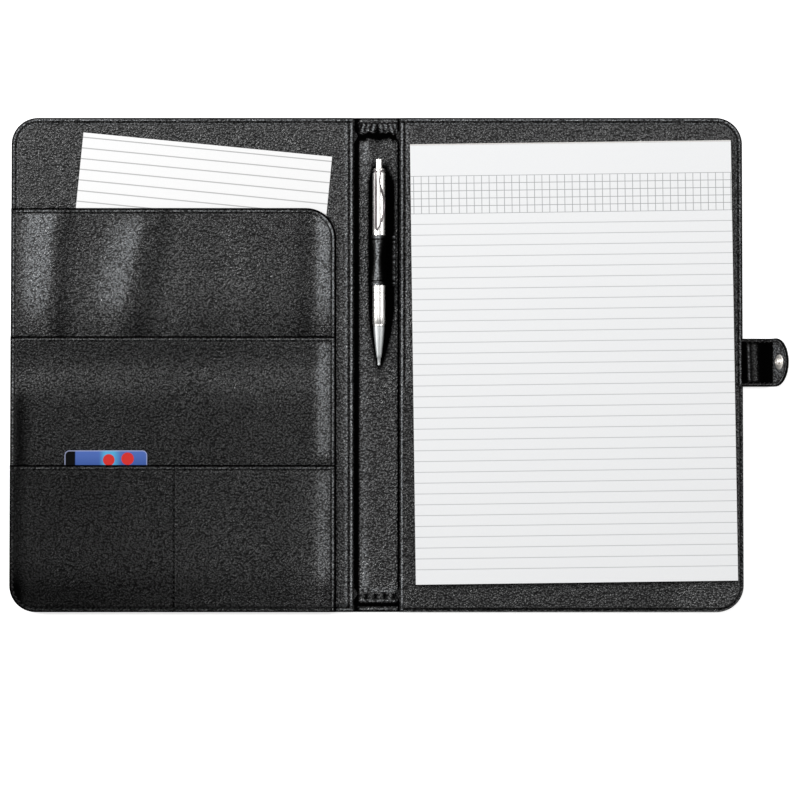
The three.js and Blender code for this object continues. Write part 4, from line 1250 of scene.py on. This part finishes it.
R = barrel_radius / MM
top_end, joint_end = barrel_high[1] / MM, barrel_low[1] / MM
groove_top, groove_foot = top_end - 0.5, top_end - 2.9
groove_floor = 3.55
upper_profile = [
    (R - 1, joint_end), (R - 0.12, joint_end), (R, joint_end + 0.12), (R, groove_foot - 0.15),
    (R - 0.1, groove_foot), (groove_floor, groove_foot + 0.2), (groove_floor, groove_top - 0.2),
    (R - 0.3, groove_top - 0.05), (R - 0.22, groove_top + 0.05),
    *arc_profile((R - 0.75, top_end - 0.5), 0.5, 5, 88, 6), (2.42, top_end), (2.33, top_end - 0.1),
    (2.33, top_end - 4), (R - 1, top_end - 4),
]
pen_piece("upper_barrel", "pen_upper_barrel", upper_profile, bright, "pen")
ring_low, ring_high = (corner[1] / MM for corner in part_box("pen_joint_ring"))
ring_middle = (ring_low + ring_high) / 2
ring_profile = [
    (R - 1, ring_low), (R - 0.25, ring_low), *arc_profile((R - 0.45, ring_middle), 0.5, -60, 60, 7),
    (R - 0.25, ring_high), (R - 1, ring_high),
]
pen_piece("joint_ring", "pen_joint_ring", ring_profile, satin, "pen")
lower_low, lower_high = (corner[1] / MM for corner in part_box("pen_lower_barrel"))
neck_foot = ring_low - 0.1
grips = []
for y in (31.3, 36.3, 41.3, 46.3):
    grips += [(R, y - 0.22), (R - 0.07, y - 0.1), (R - 0.07, y + 0.1), (R, y + 0.22)]
lower_profile = [
    (3, lower_low), (R - 0.5, lower_low), (R - 0.35, lower_low + 0.15), (R - 0.35, lower_low + 1.2),
    (R - 0.05, lower_low + 1.45), (R, lower_low + 1.6), *grips, (R, neck_foot - 0.15), (R - 0.12, neck_foot),
    (2.95, neck_foot), (2.95, lower_high), (2.2, lower_high), (2.2, lower_low + 7), (3, lower_low + 6.5),
]
pen_piece("lower_barrel", "pen_lower_barrel", lower_profile, bright, "pen")
tip, cone_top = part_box("pen_nose_cone")[0].y / MM, lower_low - 0.3
bow = [
    (1.62 + 2.13 * t + 0.18 * math.sin(math.pi * t), tip + 5.2 + (cone_top - tip - 5.2) * t)
    for t in np.linspace(0, 1, 12)
]
cone_profile = [
    (0.6, tip), (0.8, tip + 0.05), (0.95, tip + 0.25), (1.15, tip + 4.5), (1.25, tip + 4.7),
    (1.5, tip + 4.9), *bow, (2.7, cone_top), (2.7, lower_low + 6), (1.95, lower_low + 6), (1.95, tip + 12.4),
    (1.2, tip + 12.4), (1.2, tip + 5.4), (0.6, tip + 4.4),
]
pen_piece("nose_cone", "pen_nose_cone", cone_profile, satin, "pen")
button_low, button_high = (corner[1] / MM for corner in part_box("pen_plunger"))
button_profile = [
    (2.95, button_low), (2.95, top_end - 4.3), (2.13, top_end - 4.3), (2.13, button_high - 0.5),
    *arc_profile((1.63, button_high - 0.5), 0.5, 10, 80, 6), (1.3, button_high),
]
pen_piece("push_button", "pen_plunger", button_profile, bright, "plunger", closed=False)
refill_low, refill_high = (corner[1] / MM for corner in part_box("pen_refill"))
ink = Finish("refill_tube", Roughness=0.35)
refill_profile = [
    (0.25, refill_low), (0.4, refill_low + 0.5), (0.4, refill_low + 9.8), (1.0, refill_low + 10.1),
    (1.0, refill_low + 31.6), (1.45, refill_low + 31.6), (1.45, refill_high),
]
pen_piece("refill_tube", "pen_refill", refill_profile, ink.surface(
    Base_Color=ink.blend(ink.noise(300.0), (0.70, 0.69, 0.64, 1), (0.78, 0.77, 0.72, 1)),
), "refill", closed=False)
refinish("pen_spring", wire_metal)
spring_low, spring_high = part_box("pen_spring")
click = next(joint for joint in frame["joints"] if joint["name"] == "pen_click")
squeezed = 1 - click["range_m"][1] / (spring_high.y - spring_low.y)
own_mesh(frame["nodes"]["pen_spring"])


def rod(name, path, normals, radius, sides=12):
    """Round wire on a closed path: each ring is square to the path and lies by its point's normal."""
    step = np.roll(path, -1, axis=0) - np.roll(path, 1, axis=0)
    aside = np.cross(step, normals)
    aside /= np.linalg.norm(aside, axis=1)[:, None]
    out = np.cross(aside, step)
    out /= np.linalg.norm(out, axis=1)[:, None]
    angle = np.linspace(0, 2 * np.pi, sides, endpoint=False)[:, None]
    rings = path[:, None] + radius * (np.cos(angle) * aside[:, None] + np.sin(angle) * out[:, None])
    return skinned(name, rings, closed=True, sharp=60)


def curve_through(points, spacing):
    """Smooth closed path: between points a cubic whose slopes are half the step between neighbours."""
    points = np.array(points, float)
    before, after = np.roll(points, 1, axis=0), np.roll(points, -1, axis=0)
    after_next = np.roll(points, -2, axis=0)
    runs = []
    for p0, p1, p2, p3 in zip(before, points, after, after_next):
        t = np.arange(0, 1, min(0.5, spacing / max(np.linalg.norm(p2 - p1), 1e-9)))[:, None]
        square, cube = 2 * p0 - 5 * p1 + 4 * p2 - p3, 3 * p1 - p0 - 3 * p2 + p3
        runs.append(0.5 * (2 * p1 + (p2 - p0) * t + square * t**2 + cube * t**3))
    return np.concatenate(runs)


clip_radius = 0.45 * MM
over_barrel = barrel_radius + 0.35 * MM + clip_radius
clip_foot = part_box("pen_clip")[0].y + clip_radius
ring_radius = (groove_floor + 0.2) * MM + clip_radius
ring_y = (groove_top + groove_foot) / 2 * MM
clip_points = [
    (-2.36, 115), (-2.36, 105), (-2.36, 95), (-2.36, clip_foot / MM + 2.6), (-2.05, clip_foot / MM + 0.6),
    (-1.3, clip_foot / MM), (-0.5, clip_foot / MM + 1.1), (1.31, 92), (2.7, 96), (3.45, 100), (3.6, 105),
    (3.0, 109.5), (1.9, 113.5), (0.75, 117.5), (0.3, 120), (0.8, 122.5),
]
over = [(x * MM, y * MM, math.sqrt(over_barrel**2 - (x * MM) ** 2)) for x, y in clip_points]
collar = [
    (ring_radius * math.sin(a), ring_y, ring_radius * math.cos(a))
    for a in np.linspace(0.42, 2 * np.pi - 0.55, 24)
]
clip_line = curve_through([*over, *collar], 0.5 * MM)
clip_out = clip_line * (1, 0, 1)
clip = rod("wire_clip", clip_line + (pen_x, 0, pen_z), clip_out, clip_radius)
shown(clip, wire_metal, "clip", ("pen_clip",))

# The closing tab is two layers of leather sewn back to back round their edge. Its root is sewn into the edge
# of the back cover, and its round end is curled up, with the stud riveted through it.
tab_low, tab_high = corners_of("tab_strap_outer")
tab_centre = (tab_low[1] + tab_high[1]) / 2
tab_half = (tab_high[1] - tab_low[1]) / 2
tab_thick = 1.6 * MM
end_hinge = next(joint for joint in frame["joints"] if joint["name"] == "tab_end_bend")
tab_start = fore_edge - 0.6 * MM
tab_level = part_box("tab_strap_inner")[1].z - tab_thick / 2
hinge_x, hinge_z = end_hinge["pos_m"][0], end_hinge["pos_m"][2]
curl = -math.radians(end_hinge["range_deg"][0])
curl_radius = 5.4 * MM
short = tab_thick / 2 * math.tan(curl / 2)
tangent = curl_radius * math.tan(curl / 2)
curl_from = hinge_x + short - tangent - tab_start
curl_to = curl_from + curl_radius * curl
end_straight = 4.6 * MM
tip_from = curl_to + end_straight + short - tangent
tab_end_at = tip_from + tab_half
tab_stitch = 2.3 * MM
ripples = ((243.6, 0.7, 0.35), (246.4, 0.8, 0.45), (248.6, 0.9, 0.25))
tab_walk = np.linspace(0, tab_end_at, 600)
tab_angle = np.clip((tab_walk - curl_from) / curl_radius, 0, curl)
tab_step = tab_walk[1]
tab_slope = tab_angle[:-1] / 2 + tab_angle[1:] / 2
tab_x, tab_z = (
    start + np.concatenate([[0], np.cumsum(share) * tab_step])
    for start, share in ((tab_start, np.cos(tab_slope)), (tab_level, np.sin(tab_slope)))
)


def on_tab(s, y, height):
    """Point of the tab: a way s along its middle, a place y across it, and a height off the middle towards
    its inner face. The middle runs flat, turns on an arc and goes on straight, and small ripples lift it
    near the root.
    """
    x, z = np.interp(s, tab_walk, tab_x), np.interp(s, tab_walk, tab_z)
    angle = np.clip((s - curl_from) / curl_radius, 0, curl)
    lift = sum(size * MM * hump(at * MM, width * MM, x + 0.02 * y) for at, width, size in ripples)
    height = height + lift * (1 - 0.4 * (y / tab_half) ** 2)
    return np.stack([x - height * np.sin(angle), tab_centre + y, z + height * np.cos(angle)], axis=-1)


def tab_width(s):
    past = np.clip(s - tip_from, 0, tab_half * 0.9995)
    return np.sqrt(tab_half**2 - past**2)


def from_tab_edge(s, y):
    """Distance in from the tab's long sides, and past their end from its round tip."""
    return tab_half - np.where(s > tip_from, np.hypot(s - tip_from, y), np.abs(y))


def tab_face(s, y):
    """Half the tab's thickness: full inside, thin at its edge and along its stitches."""
    inward = from_tab_edge(s, y)
    groove = 0.2 * MM * hump(tab_stitch, 0.45 * MM, inward)
    return tab_thick / 2 - rounded(inward, 0.55 * MM) - groove


def tab_shade(s, y):
    """Black root; painted highlights on its ripples and the end's inner face; painted shade at the rim."""
    inward = from_tab_edge(s, y)
    x = tab_start + s + 0.03 * y
    ripple = (
        (0.42 * hump(243.9 * MM, 0.7 * MM, x) + 0.3 * hump(247.6 * MM, 1.5 * MM, x))
        * ease(2.5 * MM, 5 * MM, inward)
    )
    end = ease(curl_to - 1 * MM, curl_to + 0.4 * MM, s)
    bead = 0.35 * hump(1.5 * MM, 0.4 * MM, inward)
    light = np.maximum.reduce([ripple, 0.22 * end * ease(2.6 * MM, 3.6 * MM, inward), bead])
    bare = (1 - end) * (1 - np.clip(2.5 * np.maximum(ripple, bead), 0, 1))
    dark = np.maximum(bare, ease(1 * MM, 0.6 * MM, inward))
    return shaded(light, np.maximum(dark, 0.6 * hump(tab_stitch, 0.5 * MM, inward)))


def tab_part(name, s):
    share = np.sin(np.linspace(-np.pi / 2, np.pi / 2, 61))[:, None]
    y = share * tab_width(s)
    s = np.broadcast_to(s, y.shape)
    return closed_sheet(name, on_tab(s, y, tab_face(s, y)), on_tab(s, y, -tab_face(s, y)), tab_shade(s, y))


split = 9.2 * MM
root = tab_part("tab_root_leather", stations((0, split / MM, 0.3)))
round_tip = tip_from + tab_half * np.sin(np.linspace(0.02, np.pi / 2 * 0.9995, 46))
tongue_s = np.concatenate([stations((split / MM, tip_from / MM, 0.35)), round_tip])
tongue = tab_part("tab_tongue_leather", tongue_s)
shown(root, loop_finish, stands_for=("tab_strap_outer", "tab_strap_inner"))
shown(tongue, lining_finish, stands_for=("tab_end_inner", "tab_end_outer"))
seam_half = tab_half - tab_stitch
tip_line = arc_points((tip_from, 0), seam_half, np.linspace(-np.pi / 2, np.pi / 2, 40))
tongue_line = np.concatenate([[(split + 1 * MM, -seam_half)], tip_line, [(split + 1 * MM, seam_half)]])
root_lines = [np.array([(2.2 * MM, side), (split, side)]) for side in (-seam_half, seam_half)]
tongue_rows = [
    (f"tab_tongue_stitches_{face}", tongue_line, sign) for face, sign in (("inner", 1), ("outer", -1))
]
root_rows = [(f"tab_root_stitches_{face}_{k}", line, sign) for face, sign in (("inner", 1), ("outer", -1))
             for k, line in enumerate(root_lines)]
sewn_rows = []
for name, line, sign in tongue_rows + root_rows:
    row = sewn(name, line, tab_face, pitch=3.1 * MM, place=lambda s, y, z, sign=sign: on_tab(s, y, sign * z))
    shown(row, thread_finish)
    sewn_rows.append(row)
for made in [root, *sewn_rows[2:]]:
    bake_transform(made)
bend_from, bend_to = curl_from - 2 * MM, curl_to + 1 * MM
for made in [tongue, *sewn_rows[:2]]:
    start, end = (on_tab(np.array(s), np.array(0.0), 0.0) for s in (bend_from, bend_to))
    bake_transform(made)

# The press stud is plated brass, in two turned parts riveted together through the tab's end: a stud with its
# flange on the inner face, and a domed cap outside.
snap_finish = metal("plated_snap", (0.92, 0.89, 0.84, 1), 0.42)
stud_reach = 11 * MM
end_way = np.array((math.cos(curl), 0, math.sin(curl)))
end_face = np.array((-math.sin(curl), 0, math.cos(curl)))
stud_place = np.array((hinge_x, tab_centre, hinge_z)) + stud_reach * end_way
stud_profile = np.array([
    (1.1, 0.1), (4.6, 0.1), (4.86, 0.2), (4.9, 0.33), (4.8, 0.48), (4.5, 0.58), (3.2, 0.6), (2.5, 0.68),
    (2.15, 0.95), (2.08, 1.4), (2.2, 1.75), (2.3, 2.05), (2.25, 2.35), (2.0, 2.53), (1.6, 2.6), (0.9, 2.6),
    (0.75, 2.45), (0.7, 2.3),
]) * MM
stud = turned("press_stud", stud_profile, stud_place, end_face)
shown(stud, snap_finish, "tab_end", ("snap_stud",))
cap_profile = np.array([
    (1.2, -0.05), (1.2, -1.7), (5.1, -1.7), (5.45, -1.78), (5.5, -1.95), (5.3, -2.12), (4.4, -2.28),
    (3.0, -2.36), (1.5, -2.395), (0.2, -2.4),
]) * MM
cap = turned("stud_cap", cap_profile, stud_place, end_face)
shown(cap, snap_finish, "tab_end", ("snap_cap",))

# The stud's socket is a plated ring riveted through the front cover's outer leather, flush with it, against a
# washer inside the cover. The stud snaps into it when the folder is closed.
z0, z1 = socket_low[2] / MM, socket_high[2] / MM
r1 = socket_radius / MM
socket_profile = np.array([
    (2.6, z0 + 0.25), (2.75, z0 + 0.05), (3.0, z0), (3.3, z0), (3.5, z0 + 0.12), (3.8, z0 + 0.12), (4.1, z0),
    (4.35, z0 + 0.03), (r1, z0 + 0.22), (r1, z1), (0.3, z1), (0.3, z1 - 0.35), (2.45, z1 - 0.35),
    (2.6, z1 - 0.55), (2.75, z0 + 0.95), (2.6, z0 + 0.6),
]) * MM
stud_socket = turned("stud_socket", socket_profile, (socket_centre[0], socket_centre[1], 0), closed=True)
shown(stud_socket, snap_finish, "front_cover", ("snap_socket",))
refinish("socket_washer", snap_finish)

# The table is white and keeps the folder's shadow, and the background is white too. It lies a little below
# the covers, because their outer stitches stand out.
ground_size, table_level = 3.0, -0.3 * MM
corners = np.array([(-1, -1), (1, -1), (1, 1), (-1, 1)]) * ground_size
ground_mesh = bpy.data.meshes.new("table")
ground_mesh.from_pydata([(x, y, table_level) for x, y in corners], [], [(0, 1, 2, 3)])
ground = bpy.data.objects.new("table", ground_mesh)
bpy.context.scene.collection.objects.link(ground)
table = Finish("white_table", Roughness=0.9, Specular_IOR_Level=0.0, Base_Color=(0.86, 0.86, 0.86, 1))
rays = table.add("ShaderNodeLightPath").output.node.outputs
seen = (
    Socket(table, rays["Is Camera Ray"]) + Socket(table, rays["Is Glossy Ray"])
    + Socket(table, rays["Is Transmission Ray"])
)
table.feed(table.shader, {"Emission Strength": 1.0})
table.surface(Emission_Color=table.blend(seen.math("MINIMUM", 1.0), grey(0.0), grey(0.66)))
ground_mesh.materials.append(table.material)

# The light is that of a small studio: a large lamp towards the head, a lower one at the left that rakes over
# the covers, and a weak one at the right. Glossy rays see a dome that is brightest overhead, diffuse rays a
# dim grey, and camera and transmission rays plain white.
world = bpy.data.worlds.new("studio")
bpy.context.scene.world = world
world.use_nodes = True
sky = Nodes(world.node_tree)
rays = sky.add("ShaderNodeLightPath").output.node.outputs
camera_ray, glossy, diffuse, transmitted = (
    Socket(sky, rays[f"Is {kind} Ray"]) for kind in ("Camera", "Glossy", "Diffuse", "Transmission")
)
direction = sky.add("ShaderNodeTexCoord", output="Generated")
upward = sky.add("ShaderNodeSeparateXYZ", None, {0: direction}, "Z")
brightest = {0: direction, 1: (-0.17, 0.345, 0.923)}
overhead = sky.add("ShaderNodeVectorMath", {"operation": "DOT_PRODUCT"}, brightest, "Value")
overhead = overhead.math("MAXIMUM", 0.0).math("POWER", 20.0)
backdrop = (1.0 - upward.math("ABSOLUTE")).math("POWER", 4.0)
pale = overhead.math("MULTIPLY_ADD", 4.2, backdrop.math("MULTIPLY_ADD", 0.85, 0.15))
lit = (glossy * pale).math("MAXIMUM", diffuse * 0.22)
strength = camera_ray.math("MAXIMUM", transmitted).math("MAXIMUM", lit)
sky.feed(sky.tree.nodes["Background"], {"Strength": strength, "Color": (1, 1, 1, 1)})

aim = np.array((15.25, -23.4, 0)) * MM


def lamp(name, place, size, power):
    """Square lamp of a size in metres, turned to the folder's middle."""
    light = bpy.data.lights.new(name, "AREA")
    light.size, light.energy = size, power
    made = bpy.data.objects.new(name, light)
    bpy.context.scene.collection.objects.link(made)
    made.location = place
    toward = aim - np.array(place)
    made.rotation_euler = (
        math.acos(-toward[2] / np.linalg.norm(toward)), 0, math.atan2(-toward[0], toward[1])
    )


lamp("head", (-0.5, 1.6, 2.0), 0.9, 27)
lamp("left", (-2.2, 0.5, 1.35), 0.6, 44)
lamp("right", (1.9, 0.4, 1.7), 0.6, 18)

# The camera looks straight down, 1.84 degrees from the foot's side, from 2 m away, so that what stands higher
# is hardly larger.
tilt = math.radians(1.84)
distance = 2.0
camera_data = bpy.data.cameras.new("camera")
camera_data.sensor_width, camera_data.lens = 36, 137.2
camera = bpy.data.objects.new("camera", camera_data)
bpy.context.scene.collection.objects.link(camera)
camera.location = aim + distance * np.array((0, -math.sin(tilt), math.cos(tilt)))
camera.rotation_euler = (tilt, 0, 0)
bpy.context.scene.camera = camera
bpy.context.scene.view_settings.view_transform = "Standard"
